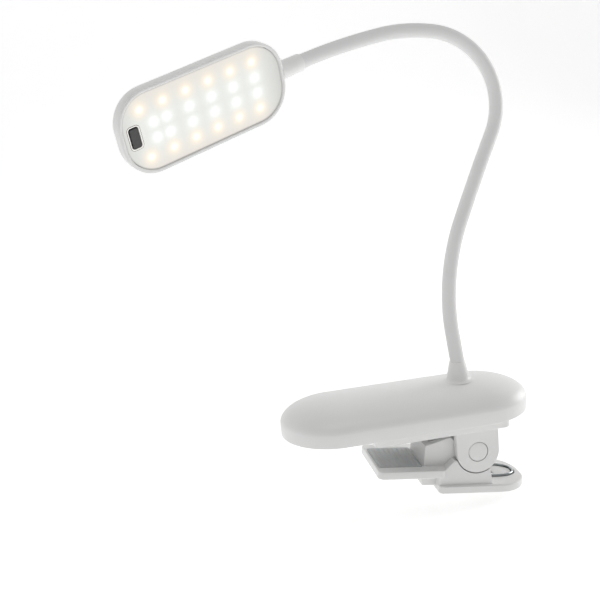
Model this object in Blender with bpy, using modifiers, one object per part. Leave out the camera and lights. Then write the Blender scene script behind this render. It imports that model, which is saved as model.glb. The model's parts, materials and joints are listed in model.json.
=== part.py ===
"""Clip-on reading lamp: a rechargeable base on a sprung clip, a gooseneck and a flat LED head.

Metres, +Z up. The origin is the middle of the upper grip pad, on its face, where the lamp
rests on a board. +X runs along the base towards the gooseneck, -Y is the front.
"""

import bmesh
import bpy
from math import cos, pi, radians, sin
from mathutils import Matrix, Vector

MM = 0.001
GAP = 0.3 * MM                  # clearance between touching pieces

# ---- base -----------------------------------------------------------------------------------
BASE_LENGTH = 158 * MM
BASE_WIDTH = 68 * MM
BASE_HEIGHT = 20 * MM           # at the middle of the domed top
BASE_SHOULDER = 7.5 * MM        # where the upright side turns into the dome
BASE_WALL = 2.0 * MM
FLOOR_THICK = 2.0 * MM
CELL_SIZE = (52 * MM, 36 * MM, 7.5 * MM)
BOARD_SIZE = (28 * MM, 44 * MM, 1.2 * MM)
SOCKET_SIZE = (9.0 * MM, 7.3 * MM, 3.2 * MM)
POST_RADIUS = 3.0 * MM
BOSS_TOP = 6.0 * MM             # height of the floor's bosses
SCREW_RADIUS = 1.25 * MM
SCREW_HEAD = 2.6 * MM
SCREW_HEAD_THICK = 1.1 * MM
SCREW_SINK = 1.4 * MM           # depth of the recess round a screw's head
LEAD_RADIUS = 0.7 * MM          # a twisted pair of leads

# ---- clip bracket, fixed under the base ------------------------------------------------------
PLATE_LENGTH = 87.5 * MM
PLATE_WIDTH = 48 * MM
PLATE_THICK = 7.4 * MM
PLATE_CORNER = 4 * MM
PLATE_MARGIN = 4 * MM           # from its edges to the screws and the pad
EAR_OUTER = 21 * MM             # outer face of an ear, from the middle
EAR_THICK = 5.5 * MM
EAR_RADIUS = 13.8 * MM
PIN_RADIUS = 2.5 * MM
PIVOT_DROP = 22.0 * MM          # pin axis below the base
CAP_RADIUS = 6.15 * MM
CAP_THICK = 2.0 * MM
PAD_LENGTH = 28 * MM
PAD_WIDTH = 32 * MM
PAD_THICK = 1.5 * MM
PAD_PROUD = 0.8 * MM

# ---- lower jaw and handle --------------------------------------------------------------------
JAW_TILT = radians(8)           # rest pose: gripping a 16 mm board
HANDLE_REACH = 37.2 * MM        # handle's end, from the pin axis
HANDLE_WIDTH = 47 * MM
HANDLE_CORNER = 20 * MM
HANDLE_THICK = 5.1 * MM
HANDLE_DROP = 21.4 * MM         # handle's top face below the pin axis
HANDLE_INSET = 9 * MM           # handle's inner end behind the throat
ARM_REACH = 64 * MM
ARM_THICK = 5.2 * MM
ARM_DROP = 10.7 * MM
ARM_ROOT = 13 * MM              # how far the arm runs in behind the throat
THROAT_REACH = 32.9 * MM        # face that stops the board's edge
THROAT_RISE = 2.2 * MM          # its top above the pin axis
THROAT_WALL = 3.9 * MM
CHEEK_PEAK = (-17 * MM, 7.6 * MM)
CHEEK_DIP = (-13.4 * MM, 5.0 * MM)
HUB_RADIUS = 9 * MM             # round the pin
CHANNEL_HALF = 10.9 * MM        # half the inner channel that holds the spring
CHANNEL_SLOPE = (-7 * MM, 1 * MM)    # where its floor drops to the handle
CHANNEL_END = 18 * MM
WIRE_RADIUS = 0.8 * MM
COIL_RADIUS = 5.6 * MM
COIL_TURNS = 3
BAIL_HALF = 9.3 * MM
BAIL_REACH = 32.5 * MM
GROOVE_RADIUS = 1.7 * MM

# ---- gooseneck -------------------------------------------------------------------------------
NECK_OFFSET = 36.6 * MM         # neck axis from the middle of the base
COLLAR_HEIGHT = 12.4 * MM
COLLAR_RADIUS = 5.0 * MM        # at its top; the collar is a cone with a flared foot
COLLAR_WAIST = 6.9 * MM
COLLAR_FOOT = 8.8 * MM
COLLAR_FLARE = 2.2 * MM
SLEEVE_RADIUS = 4.5 * MM
SLEEVE_WALL = 1.2 * MM
SPINE_RADIUS = 2.8 * MM
SPINE_WALL = 1.2 * MM
NUT_RADIUS = 7.0 * MM
NUT_THICK = 4.6 * MM
NECK_LENGTH = 328 * MM
NECK_PIECES = 9
NECK_STEP = 8 * MM              # spacing of the points along a piece
JOINT_GAP = 1.8 * MM            # room between two pieces for a bend of up to 20 degrees
# how the neck is bent at rest: share of its length, lean in the XZ plane, lean to the back (deg)
NECK_BENDS = ((0.000, -7, 0), (0.055, -4.5, 7), (0.274, 29, 16.5), (0.457, 31.5, 16.5),
              (0.720, -78.5, 4), (0.829, -98.5, -4), (1.000, -106.0, -20))

# ---- head ------------------------------------------------------------------------------------
HEAD_LENGTH = 111.6 * MM
HEAD_WIDTH = 51 * MM
HEAD_CORNER = 21 * MM
HEAD_DEPTH = 11 * MM
HEAD_EDGE = 5.5 * MM            # radius of the back edge
HEAD_WALL = 2.2 * MM
HEAD_ROLL = radians(15.6)       # light face turned down about the head's long axis
HEAD_COLLAR_LENGTH = 15.8 * MM
HEAD_COLLAR_RADIUS = 5.5 * MM
SPIGOT_RADIUS = 2.0 * MM
SPIGOT_REACH = 8 * MM           # into the head, from its end
SPINE_SEAT = 4 * MM             # end of the spine's bore, from the head's end
HEAD_NUT_RADIUS = 3.0 * MM
LEAD_BORE = 1.1 * MM
DIFFUSER_THICK = 1.2 * MM
DIFFUSER_SUNK = 1.0 * MM
FRAME_WALL = 1.2 * MM
LED_BOARD_THICK = 1.2 * MM
LED_BOARD_DROP = 5.4 * MM       # top of the LED board below the rim
LED_BOARD_CUT = 9 * MM          # left free at the spigot's end
LED_SIZE = 2.8 * MM
LED_THICK = 0.7 * MM
LED_COLUMNS = 6
LED_PITCH = 15.1 * MM
LED_MIDDLE = -2.2 * MM           # the lights sit nearer the button's end
LED_ROWS = (14.5 * MM, 4.8 * MM, -4.8 * MM, -14.5 * MM)
LED_ASIDE = 6.6 * MM             # the two by the button stand back from it
BUTTON_X = -46.6 * MM
BUTTON_SIZE = (6.2 * MM, 12.4 * MM)
BUTTON_THICK = 1.9 * MM
SWITCH_SIZE = 4.5 * MM
BUTTON_TRAVEL = 0.5 * MM
BUTTON_PROUD = 0.7 * MM

# ---- places that follow from the sizes -------------------------------------------------------
PLATE_TOP = -GAP
PLATE_BOTTOM = PLATE_TOP - PLATE_THICK
PAD_FACE = PLATE_BOTTOM - PAD_PROUD
PLATE_LEFT = -26 * MM
PAD_MIDDLE = PLATE_LEFT + PLATE_MARGIN + PAD_LENGTH / 2
BASE_ORIGIN = Vector((-PAD_MIDDLE, 0, -PAD_FACE))   # middle of the base's underside
PIVOT_X = PLATE_LEFT + PLATE_LENGTH - EAR_RADIUS - 7.5 * MM
EAR_INNER = EAR_OUTER - EAR_THICK
EAR_CLEAR = 0.6 * MM
SPINE_HOLE = SPINE_RADIUS + GAP
SCREW_HOLE = SCREW_RADIUS + GAP

# ---- helpers ---------------------------------------------------------------------------------
for old in list(bpy.data.objects):
    bpy.data.objects.remove(old, do_unlink=True)

lamp = bpy.data.collections.new("reading_lamp")
cutters = bpy.data.collections.new("cutters")
bpy.context.scene.collection.children.link(lamp)
bpy.context.scene.collection.children.link(cutters)


def material(name, colour, roughness, metallic=0.0):
    mat = bpy.data.materials.new(name)
    mat.use_nodes = True
    shader = mat.node_tree.nodes["Principled BSDF"]
    shader.inputs["Base Color"].default_value = (*colour, 1)
    shader.inputs["Roughness"].default_value = roughness
    shader.inputs["Metallic"].default_value = metallic
    return mat


WHITE = material("white_plastic", (0.84, 0.84, 0.83), 0.42)
SLEEVE = material("white_silicone", (0.82, 0.82, 0.81), 0.6)
FROSTED = material("frosted_diffuser", (0.93, 0.93, 0.9), 0.5)
GREY = material("grey_button", (0.09, 0.09, 0.1), 0.5)
RUBBER = material("clear_rubber", (0.55, 0.55, 0.55), 0.8)
STEEL = material("spring_steel", (0.55, 0.56, 0.56), 0.3, 1.0)
BOARD = material("white_board", (0.7, 0.72, 0.7), 0.5)
GREEN = material("green_board", (0.05, 0.2, 0.09), 0.5)
CELL = material("cell_wrap", (0.12, 0.2, 0.42), 0.4)
LEAD = material("lead_pair", (0.5, 0.04, 0.04), 0.5)


def place(obj, at=(0, 0, 0), turn=(0, 0, 0), parent=None):
    obj.location = at
    obj.rotation_euler = turn
    obj.parent = parent
    return obj


def mesh_object(name, mesh, mat=None):
    """A piece goes in the lamp's collection, a cutter (no material) in the other."""
    obj = bpy.data.objects.new(name, mesh)
    if mat:
        lamp.objects.link(obj)
        obj.data.materials.clear()
        obj.data.materials.append(mat)
    else:
        cutters.objects.link(obj)
        obj.hide_render = True
        obj.display_type = "WIRE"
    return obj


def empty(name, matrix):
    obj = bpy.data.objects.new(name, None)
    lamp.objects.link(obj)
    obj.matrix_world = matrix
    return obj


def curve_to_mesh(curve, name, mat, weld=True):
    """A curve made a plain mesh, with its loose caps welded on."""
    guide = bpy.data.objects.new(name + "_curve", curve)
    bpy.context.scene.collection.objects.link(guide)
    graph = bpy.context.evaluated_depsgraph_get()
    mesh = bpy.data.meshes.new_from_object(guide.evaluated_get(graph))
    bpy.data.objects.remove(guide, do_unlink=True)
    if weld:
        bm = bmesh.new()
        bm.from_mesh(mesh)
        bmesh.ops.remove_doubles(bm, verts=bm.verts, dist=0.01 * MM)
        bmesh.ops.recalc_face_normals(bm, faces=bm.faces)
        bm.to_mesh(mesh)
        bm.free()
    return mesh_object(name, mesh, mat)


def slab(name, outline, thick, mat=None, upright=False):
    """A flat outline, given a thickness about its own plane. Upright ones stand in XZ."""
    curve = bpy.data.curves.new(name, "CURVE")
    curve.dimensions = "2D"
    curve.fill_mode = "BOTH"
    curve.extrude = thick / 2
    curve.render_resolution_u = 0
    spline = curve.splines.new("POLY")
    spline.points.add(len(outline) - 1)
    for point, (x, y) in zip(spline.points, outline):
        point.co = (x, y, 0, 1)
    spline.use_cyclic_u = True
    obj = curve_to_mesh(curve, name, mat)
    if upright:
        obj.data.transform(Matrix.Rotation(pi / 2, 4, "X"))
    return obj


def rod(name, points, radius, mat=None, sides=8, hollow=0.0):
    """A wire or tube along points; a hollow one has an open bore of the given wall."""
    curve = bpy.data.curves.new(name, "CURVE")
    curve.dimensions = "3D"
    curve.bevel_depth = radius
    curve.bevel_resolution = sides // 2 - 2
    curve.use_fill_caps = not hollow
    curve.render_resolution_u = 0
    spline = curve.splines.new("POLY")
    spline.points.add(len(points) - 1)
    for point, co in zip(spline.points, points):
        point.co = (*co, 1)
    obj = curve_to_mesh(curve, name, mat, weld=not hollow)
    obj.data.shade_smooth()
    if hollow:
        wall = obj.modifiers.new("wall", "SOLIDIFY")
        wall.thickness = hollow
        wall.offset = -1
        wall.use_even_offset = True
    return obj


def turned(name, profile, mat=None, steps=20, closed=False):
    """A profile of (radius, height) turned about Z, listed down its outer side."""
    count = len(profile)
    edges = [(i, i + 1) for i in range(count - 1)]
    if closed:
        edges.append((count - 1, 0))
    mesh = bpy.data.meshes.new(name)
    mesh.from_pydata([(r, 0, z) for r, z in profile], edges, [])
    obj = mesh_object(name, mesh, mat)
    screw = obj.modifiers.new("turn", "SCREW")
    screw.steps = steps
    screw.render_steps = steps
    screw.use_merge_vertices = True
    screw.merge_threshold = 0.01 * MM
    return obj


def ring(name, outer, inner, low, high, mat=None, steps=20):
    return turned(name, [(outer, high), (outer, low), (inner, low), (inner, high)], mat, steps, True)


def boxes(name, size, places, mat=None):
    """Boxes of one size, in one mesh."""
    bm = bmesh.new()
    for x, y, z in places:
        spot = Matrix.Translation((x, y, z)) @ Matrix.Diagonal((*size, 1))
        bmesh.ops.create_cube(bm, size=1, matrix=spot)
    mesh = bpy.data.meshes.new(name)
    bm.to_mesh(mesh)
    bm.free()
    return mesh_object(name, mesh, mat)


def cylinders(name, radius, low, high, places, sides=10, along_y=False):
    """Cutters or posts of one size in one mesh, along Z or, turned, along Y."""
    bm = bmesh.new()
    for x, y in places:
        spot = Matrix.Translation((x, y, (low + high) / 2))
        if along_y:
            spot = Matrix.Translation((x, (low + high) / 2, y)) @ Matrix.Rotation(pi / 2, 4, "X")
        bmesh.ops.create_cone(bm, cap_ends=True, segments=sides, radius1=radius, radius2=radius,
                              depth=high - low, matrix=spot)
    mesh = bpy.data.meshes.new(name)
    bm.to_mesh(mesh)
    bm.free()
    return mesh_object(name, mesh)


def boolean(target, other, operation="DIFFERENCE"):
    other.parent = target.parent
    step = target.modifiers.new(other.name, "BOOLEAN")
    step.operation = operation
    step.object = other
    return target


def outline_of(length, width, radius, middle=0.0, steps=6):
    """Rounded rectangle, anticlockwise."""
    points = []
    for cx, cy, start in ((1, 1, 0), (-1, 1, 90), (-1, -1, 180), (1, -1, 270)):
        for step in range(steps + 1):
            angle = radians(start + 90 * step / steps)
            points.append((middle + cx * (length / 2 - radius) + radius * cos(angle),
                           cy * (width / 2 - radius) + radius * sin(angle)))
    return [p for i, p in enumerate(points) if (Vector(p) - Vector(points[i - 1])).length > MM / 10]


def arc(centre, radius, start, end, steps):
    """Points on an arc in XZ, angles in degrees."""
    return [(centre[0] + radius * cos(radians(start + (end - start) * i / steps)),
             centre[1] + radius * sin(radians(start + (end - start) * i / steps)))
            for i in range(steps + 1)]


def pan(name, outline, depth, edge, wall, mat):
    """A shell open at z = 0 with a rounded closed end at z = depth."""
    bm = bmesh.new()
    floor = bm.faces.new([bm.verts.new((x, y, 0)) for x, y in outline])
    grown = bmesh.ops.extrude_face_region(bm, geom=[floor])["geom"]
    top = [v for v in grown if isinstance(v, bmesh.types.BMVert)]
    bmesh.ops.translate(bm, verts=top, vec=(0, 0, depth))
    lip = [e for e in bm.edges if all(v.co.z > depth / 2 for v in e.verts)]
    bmesh.ops.bevel(bm, geom=lip, offset=edge, segments=5, profile=0.5, affect="EDGES")
    under = [f for f in bm.faces if all(v.co.z < MM / 100 for v in f.verts)]
    bmesh.ops.delete(bm, geom=under, context="FACES_ONLY")
    bmesh.ops.recalc_face_normals(bm, faces=bm.faces)
    if sum(f.normal.z * f.calc_area() for f in bm.faces) < 0:
        bmesh.ops.reverse_faces(bm, faces=bm.faces)
    mesh = bpy.data.meshes.new(name)
    bm.to_mesh(mesh)
    bm.free()
    obj = mesh_object(name, mesh, mat)
    shell = obj.modifiers.new("wall", "SOLIDIFY")
    shell.thickness = wall
    shell.offset = -1
    shell.use_even_offset = True
    return obj


def moved_in(outline, inset, height):
    """The outline with its sides moved in by a mitred inset, at a height."""
    corners = [Vector(p) for p in outline]
    ring = []
    for i, corner in enumerate(corners):
        before = (corner - corners[i - 1]).normalized()
        after = (corners[(i + 1) % len(corners)] - corner).normalized()
        inward = Vector((-before.y - after.y, before.x + after.x))
        spot = corner + inward * (inset / (1 + before.dot(after)))
        ring.append((spot.x, spot.y, height))
    return ring


def dome(name, outline, reach, shoulder, height, wall, mat):
    """A cover open at z = 0: an upright side, then an elliptic dome over the outline's half-width."""
    turns = [radians(t) for t in (90, 76, 62, 49, 36, 24, 14, 7)]
    outside = [(0, 0)] + [(reach * (1 - sin(t)), shoulder + (height - shoulder) * cos(t)) for t in turns]
    rise = height - wall - shoulder
    inside = [(wall, 0)] + [(wall + (reach - wall) * (1 - sin(t)), shoulder + rise * cos(t)) for t in turns]
    bm = bmesh.new()
    rings = [[bm.verts.new(p) for p in moved_in(outline, inset, z)] for inset, z in inside[::-1] + outside]
    for low, high in zip(rings, rings[1:]):
        for i in range(len(low)):
            j = (i + 1) % len(low)
            bm.faces.new((low[i], low[j], high[j], high[i]))
    bm.faces.new(rings[0])
    bm.faces.new(rings[-1])
    bmesh.ops.recalc_face_normals(bm, faces=bm.faces)
    mesh = bpy.data.meshes.new(name)
    bm.to_mesh(mesh)
    bm.free()
    return mesh_object(name, mesh, mat)


def screw_piece(name, length, at, parent, mat=STEEL):
    """Pan-head screw, its head's underside at z = 0 of its own frame, driven upwards."""
    profile = [(0, length), (SCREW_RADIUS * 0.6, length), (SCREW_RADIUS, length - 1.5 * MM),
               (SCREW_RADIUS, 0), (SCREW_HEAD, 0), (SCREW_HEAD, -SCREW_HEAD_THICK * 0.6),
               (SCREW_HEAD * 0.75, -SCREW_HEAD_THICK), (0, -SCREW_HEAD_THICK)]
    return place(turned(name, profile, mat, 8), at, parent=parent)


# ---- base ------------------------------------------------------------------------------------
base = empty("base_frame", Matrix.Translation(BASE_ORIGIN))
post_x = BASE_LENGTH / 2 - 14 * MM
post_y = BASE_WIDTH / 2 - 20 * MM
post_spots = [(sx * post_x, sy * post_y) for sx in (-1, 1) for sy in (-1, 1)]
near_x = PLATE_LEFT + 20 * MM
far_x = PLATE_LEFT + PLATE_LENGTH - PLATE_MARGIN
bracket_y = PLATE_WIDTH / 2 - PLATE_MARGIN
bracket_spots = [(near_x, -bracket_y), (near_x, bracket_y), (far_x, -bracket_y / 2), (far_x, bracket_y / 2)]
board_x = NECK_OFFSET - 20 * MM
board_top = FLOOR_THICK + 2.5 * MM
socket_y = BASE_WIDTH / 2 - 0.4 * MM - SOCKET_SIZE[1] / 2
socket_z = board_top + GAP + SOCKET_SIZE[2] / 2
cell_x = POST_RADIUS + 2 * GAP + CELL_SIZE[0] / 2 - post_x
nut_bottom = BASE_HEIGHT - BASE_WALL - 3 * GAP - NUT_THICK


def make_base():
    stadium = outline_of(BASE_LENGTH, BASE_WIDTH, BASE_WIDTH / 2, steps=9)
    half = BASE_WIDTH / 2
    cover = dome("base_cover", stadium, half, BASE_SHOULDER, BASE_HEIGHT, BASE_WALL, WHITE)
    place(cover, parent=base)
    out = (Vector((post_x - BASE_LENGTH / 2 + half, post_y)).length + POST_RADIUS) / half
    post_top = BASE_SHOULDER + (BASE_HEIGHT - BASE_SHOULDER) * (1 - out ** 2) ** 0.5 - BASE_WALL / 4
    posts = cylinders("cover_posts", POST_RADIUS, FLOOR_THICK + GAP, post_top, post_spots)
    boolean(cover, posts, "UNION")
    pilots = cylinders("cover_pilots", SCREW_HOLE, FLOOR_THICK, FLOOR_THICK + 8 * MM, post_spots)
    boolean(cover, pilots)
    neck_spot = [(NECK_OFFSET, 0)]
    boolean(cover, cylinders("neck_hole", SPINE_HOLE, nut_bottom, BASE_HEIGHT + MM, neck_spot, 16))
    slot = (SOCKET_SIZE[0] + 2 * GAP, 8 * MM, SOCKET_SIZE[2] + 2 * GAP)
    boolean(cover, boxes("socket_slot", slot, [(board_x, BASE_WIDTH / 2, socket_z)]))

    inset = BASE_WALL + GAP
    inner = outline_of(BASE_LENGTH - 2 * inset, BASE_WIDTH - 2 * inset, BASE_WIDTH / 2 - inset, steps=9)
    floor = slab("base_floor", inner, FLOOR_THICK, WHITE)
    floor.data.transform(Matrix.Translation((0, 0, FLOOR_THICK / 2)))
    place(floor, parent=base)
    boolean(floor, cylinders("floor_bosses", POST_RADIUS, MM, BOSS_TOP, bracket_spots), "UNION")
    holes = cylinders("floor_holes", SCREW_HOLE, -MM, BOSS_TOP + MM, post_spots + bracket_spots)
    boolean(floor, holes)
    boolean(floor, cylinders("floor_sinks", SCREW_HEAD + GAP, -MM, SCREW_SINK, post_spots))

    cell = boxes("battery_cell", CELL_SIZE, [(0, 0, 0)], CELL)
    place(cell, (cell_x, 0, FLOOR_THICK + 2 * GAP + CELL_SIZE[2] / 2), parent=base)
    soften = cell.modifiers.new("edges", "BEVEL")
    soften.width = 2 * MM
    soften.segments = 2
    board_y = BASE_WIDTH / 2 - 5 * MM - BOARD_SIZE[1] / 2
    place(boxes("charge_board", BOARD_SIZE, [(0, 0, 0)], GREEN),
          (board_x, board_y, board_top - BOARD_SIZE[2] / 2), parent=base)
    socket = boxes("usb_socket", SOCKET_SIZE, [(0, 0, 0)], STEEL)
    place(socket, (board_x, socket_y, socket_z), parent=base)
    hollow = (SOCKET_SIZE[0] - 0.7 * MM, SOCKET_SIZE[1], SOCKET_SIZE[2] - 0.7 * MM)
    tongue = (SOCKET_SIZE[0] - 2.4 * MM, SOCKET_SIZE[1] - 1.2 * MM, 0.7 * MM)
    for cutter, way in ((boxes("socket_mouth", hollow, [(0, MM, 0)]), "DIFFERENCE"),
                        (boxes("socket_tongue", tongue, [(0, -0.5 * MM, 0)]), "UNION")):
        cutter.location = (board_x, socket_y, socket_z)
        boolean(socket, cutter, way)

    nut = ring("neck_nut", NUT_RADIUS, SPINE_HOLE, nut_bottom, nut_bottom + NUT_THICK, STEEL)
    place(nut, (NECK_OFFSET, 0, 0), parent=base)
    foot = BASE_HEIGHT + GAP
    top = BASE_HEIGHT + COLLAR_HEIGHT
    flare = [(COLLAR_FOOT - (COLLAR_FOOT - COLLAR_WAIST) * sin(a),
              foot + COLLAR_FLARE * (1 - cos(a))) for a in (pi / 2, pi / 3, pi / 6, 0)]
    profile = [(SPINE_HOLE, top), (COLLAR_RADIUS - 0.6 * MM, top), (COLLAR_RADIUS, top - 0.8 * MM)]
    profile += flare + [(SPINE_HOLE, foot)]
    place(turned("base_collar", profile, WHITE, 24, True), (NECK_OFFSET, 0, 0), parent=base)

    for number, (x, y) in enumerate(post_spots, 1):
        screw_piece(f"floor_screw_{number}", FLOOR_THICK + 5 * MM, (x, y, SCREW_SINK - GAP), base)
    seat = PLATE_BOTTOM + SCREW_SINK + MM - GAP
    for number, (x, y) in enumerate(bracket_spots, 1):
        screw_piece(f"bracket_screw_{number}", BOSS_TOP - MM - seat, (x, y, seat), base)


# ---- clip: bracket, pin and pads ---------------------------------------------------------------
def make_clip():
    middle = PLATE_LEFT + PLATE_LENGTH / 2
    plate_outline = outline_of(PLATE_LENGTH, PLATE_WIDTH, PLATE_CORNER, middle)
    bracket = slab("clip_bracket", plate_outline, PLATE_THICK, WHITE)
    bracket.data.transform(Matrix.Translation((0, 0, PLATE_TOP - PLATE_THICK / 2)))
    place(bracket, parent=base)
    left, right = PIVOT_X - EAR_RADIUS, PIVOT_X + EAR_RADIUS
    top = PLATE_BOTTOM + 2 * MM
    ear_outline = [(right, top), (left, top)] + arc((PIVOT_X, -PIVOT_DROP), EAR_RADIUS, 180, 360, 14)
    for side in (-1, 1):
        ear = slab("ear_back" if side > 0 else "ear_front", ear_outline, EAR_THICK, upright=True)
        ear.location.y = side * (EAR_OUTER - EAR_THICK / 2)
        boolean(bracket, ear, "UNION")
    reach = EAR_OUTER + MM
    step = EAR_OUTER - CAP_THICK - GAP
    wide, narrow = CAP_RADIUS + GAP, PIN_RADIUS + GAP
    stepped = [(0, reach), (wide, reach), (wide, step), (narrow, step),
               (narrow, -step), (wide, -step), (wide, -reach), (0, -reach)]
    bore = place(turned("ear_bores", stepped, None, 24), (PIVOT_X, 0, -PIVOT_DROP), (pi / 2, 0, 0))
    boolean(bracket, bore)
    below = PLATE_BOTTOM - MM
    boolean(bracket, cylinders("bracket_holes", SCREW_HOLE, below - MM, PLATE_TOP + MM, bracket_spots))
    sink_top = PLATE_BOTTOM + SCREW_SINK + MM
    boolean(bracket, cylinders("bracket_sinks", SCREW_HEAD + GAP, below, sink_top, bracket_spots))
    pocket = (PAD_LENGTH + 2 * GAP, PAD_WIDTH + 2 * GAP, 2 * (PAD_THICK - PAD_PROUD + GAP))
    boolean(bracket, boxes("upper_pocket", pocket, [(PAD_MIDDLE, 0, PLATE_BOTTOM)]))
    place(boxes("upper_pad", (PAD_LENGTH, PAD_WIDTH, PAD_THICK), [(0, 0, 0)], RUBBER),
          (PAD_MIDDLE, 0, PAD_FACE + PAD_THICK / 2), parent=base)

    along_y = (pi / 2, 0, 0)
    pin_half = EAR_OUTER - CAP_THICK - 2 * GAP
    pin_profile = [(0, pin_half), (PIN_RADIUS, pin_half), (PIN_RADIUS, -pin_half), (0, -pin_half)]
    place(turned("pivot_pin", pin_profile, STEEL, 16), (PIVOT_X, 0, -PIVOT_DROP), along_y, base)
    half = CAP_THICK / 2
    profile = [(0, half), (CAP_RADIUS - 0.3 * MM, half), (CAP_RADIUS, half - 0.3 * MM),
               (CAP_RADIUS, -half), (0, -half)]
    for name, side in (("pin_cap_front", -1), ("pin_cap_back", 1)):
        spot = (PIVOT_X, side * (EAR_OUTER - half), -PIVOT_DROP)
        place(turned(name, profile, WHITE, 24), spot, (side * -pi / 2, 0, 0), base)


# ---- lower jaw, modelled level about the pin axis, then tilted to the rest pose ----------------
jaw = empty("jaw_axis", Matrix.Translation(BASE_ORIGIN + Vector((PIVOT_X, 0, -PIVOT_DROP)))
            @ Matrix.Rotation(JAW_TILT, 4, "Y"))
bail_height = -HANDLE_DROP + 0.4 * MM
coil_front = CHANNEL_HALF - 2.7 * MM - WIRE_RADIUS       # outer end of a coil, centre of its wire


def bail_path():
    """Half the U of the spring's bail: from its coil down into the groove and to the tip."""
    start = Vector((COIL_RADIUS, -BAIL_HALF, -1.5 * MM))
    bend = Vector((0.36 * BAIL_REACH, -BAIL_HALF, bail_height + 3.2 * MM))
    flat = Vector((0.50 * BAIL_REACH, -BAIL_HALF, bail_height))
    points = [start, start.lerp(bend, 0.5), bend, bend.lerp(flat, 0.6) - Vector((0, 0, 0.3 * MM)), flat]
    straight = 0.62 * BAIL_REACH
    steps = 7
    for step in range(steps + 1):
        angle = pi / 2 * step / steps
        x = straight + (BAIL_REACH - straight) * sin(angle)
        points.append(Vector((x, -BAIL_HALF * cos(angle), bail_height)))
    return points


def mirrored(points):
    back = [Vector((p.x, -p.y, p.z)) for p in reversed(points[:-1])]
    return points + back


def make_jaw():
    handle_left = HANDLE_INSET - THROAT_REACH
    handle_length = HANDLE_REACH - handle_left
    square = 3 * MM
    right = outline_of(2 * HANDLE_REACH, HANDLE_WIDTH, HANDLE_CORNER, steps=8)
    right = [(x, y) for x, y in right if x > 0]
    half = HANDLE_WIDTH / 2
    outline = [p for p in right if p[1] > 0] + [(handle_left + square, half), (handle_left, half - square),
                                                (handle_left, square - half), (handle_left + square, -half)]
    outline += [p for p in right if p[1] < 0]
    lever = slab("jaw_lever", outline, HANDLE_THICK, WHITE)
    lever.data.transform(Matrix.Translation((0, 0, -HANDLE_DROP - HANDLE_THICK / 2)))
    place(lever, parent=jaw)
    deep = -HANDLE_DROP - HANDLE_THICK / 2
    beside = EAR_RADIUS + 2 * EAR_CLEAR
    foot = EAR_RADIUS - 2.3 * MM
    block = [(handle_left, deep), (handle_left, -beside), (-beside, -0.4 * EAR_RADIUS),
             (0.65 * EAR_RADIUS, -0.79 * EAR_RADIUS), (foot, -HANDLE_DROP), (foot, deep)]
    boolean(lever, slab("jaw_block", block, 2 * EAR_OUTER, upright=True), "UNION")
    hub = arc((0, 0), HUB_RADIUS, -40, 160, 10)
    stem = HUB_RADIUS + MM
    cheek = [(stem, deep), (stem, -HUB_RADIUS + MM)] + hub
    cheek += [CHEEK_DIP, CHEEK_PEAK, (-THROAT_REACH, THROAT_RISE), (-THROAT_REACH, deep)]
    width = 2 * (EAR_INNER - EAR_CLEAR)
    boolean(lever, slab("jaw_cheeks", cheek, width, upright=True), "UNION")
    arm_length = ARM_REACH - THROAT_REACH + ARM_ROOT
    arm_outline = outline_of(arm_length, PLATE_WIDTH, PLATE_CORNER, -ARM_REACH + arm_length / 2)
    arm = slab("jaw_arm", arm_outline, ARM_THICK)
    arm.data.transform(Matrix.Translation((0, 0, -ARM_DROP - ARM_THICK / 2)))
    boolean(lever, arm, "UNION")
    reach = EAR_OUTER + 4 * MM
    for side in (-1, 1):
        ends = sorted((side * (EAR_INNER - EAR_CLEAR), side * reach))
        name = "ear_clearance_back" if side > 0 else "ear_clearance_front"
        boolean(lever, cylinders(name, EAR_RADIUS + EAR_CLEAR, *ends, [(0, 0)], 48, along_y=True))
    inner = -THROAT_REACH + THROAT_WALL
    level = GAP - ARM_DROP
    above = 2 * HUB_RADIUS
    channel = [(inner, level), (CHANNEL_SLOPE[0], level), (CHANNEL_SLOPE[1], -HANDLE_DROP),
               (CHANNEL_END, -HANDLE_DROP), (CHANNEL_END, above), (inner, above)]
    boolean(lever, slab("jaw_channel", channel, 2 * CHANNEL_HALF, upright=True))
    boolean(lever, cylinders("jaw_bore", PIN_RADIUS + GAP, -reach, reach, [(0, 0)], 16, along_y=True))
    path = mirrored(bail_path())
    boolean(lever, rod("bail_groove", path[3:-3], GROOVE_RADIUS))
    pocket = (PAD_LENGTH + 2 * GAP, PAD_WIDTH + 2 * GAP, 2 * (PAD_THICK - PAD_PROUD + GAP))
    pad_x = -ARM_REACH + 2 * MM + PAD_LENGTH / 2
    boolean(lever, boxes("lower_pocket", pocket, [(pad_x, 0, -ARM_DROP)]))
    place(boxes("lower_pad", (PAD_LENGTH, PAD_WIDTH, PAD_THICK), [(0, 0, 0)], RUBBER),
          (pad_x, 0, -ARM_DROP + PAD_PROUD - PAD_THICK / 2), parent=jaw)
    place(rod("spring_bail", path, WIRE_RADIUS, STEEL), parent=jaw)

    first, last = radians(-30), radians(37) + 2 * pi * COIL_TURNS
    steps = 8 * COIL_TURNS + 2
    pitch = 2 * WIRE_RADIUS + 0.1 * MM
    under = PLATE_BOTTOM + PIVOT_DROP - WIRE_RADIUS - GAP
    for name, side in (("spring_coil_front", -1), ("spring_coil_back", 1)):
        points = []
        for step in range(steps + 1):
            angle = first + (last - first) * step / steps
            inward = pitch * (angle - first) / (2 * pi)
            y = side * (coil_front - inward)
            points.append(Vector((COIL_RADIUS * cos(angle), y, COIL_RADIUS * sin(angle))))
        end = points[-1]
        bend = end.x - 0.75 * (under - end.z)
        points += [Vector((bend, end.y, under)), Vector((bend - 14 * MM, end.y, under))]
        place(rod(name, points, WIRE_RADIUS, STEEL), (PIVOT_X, 0, -PIVOT_DROP), parent=base)


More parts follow.
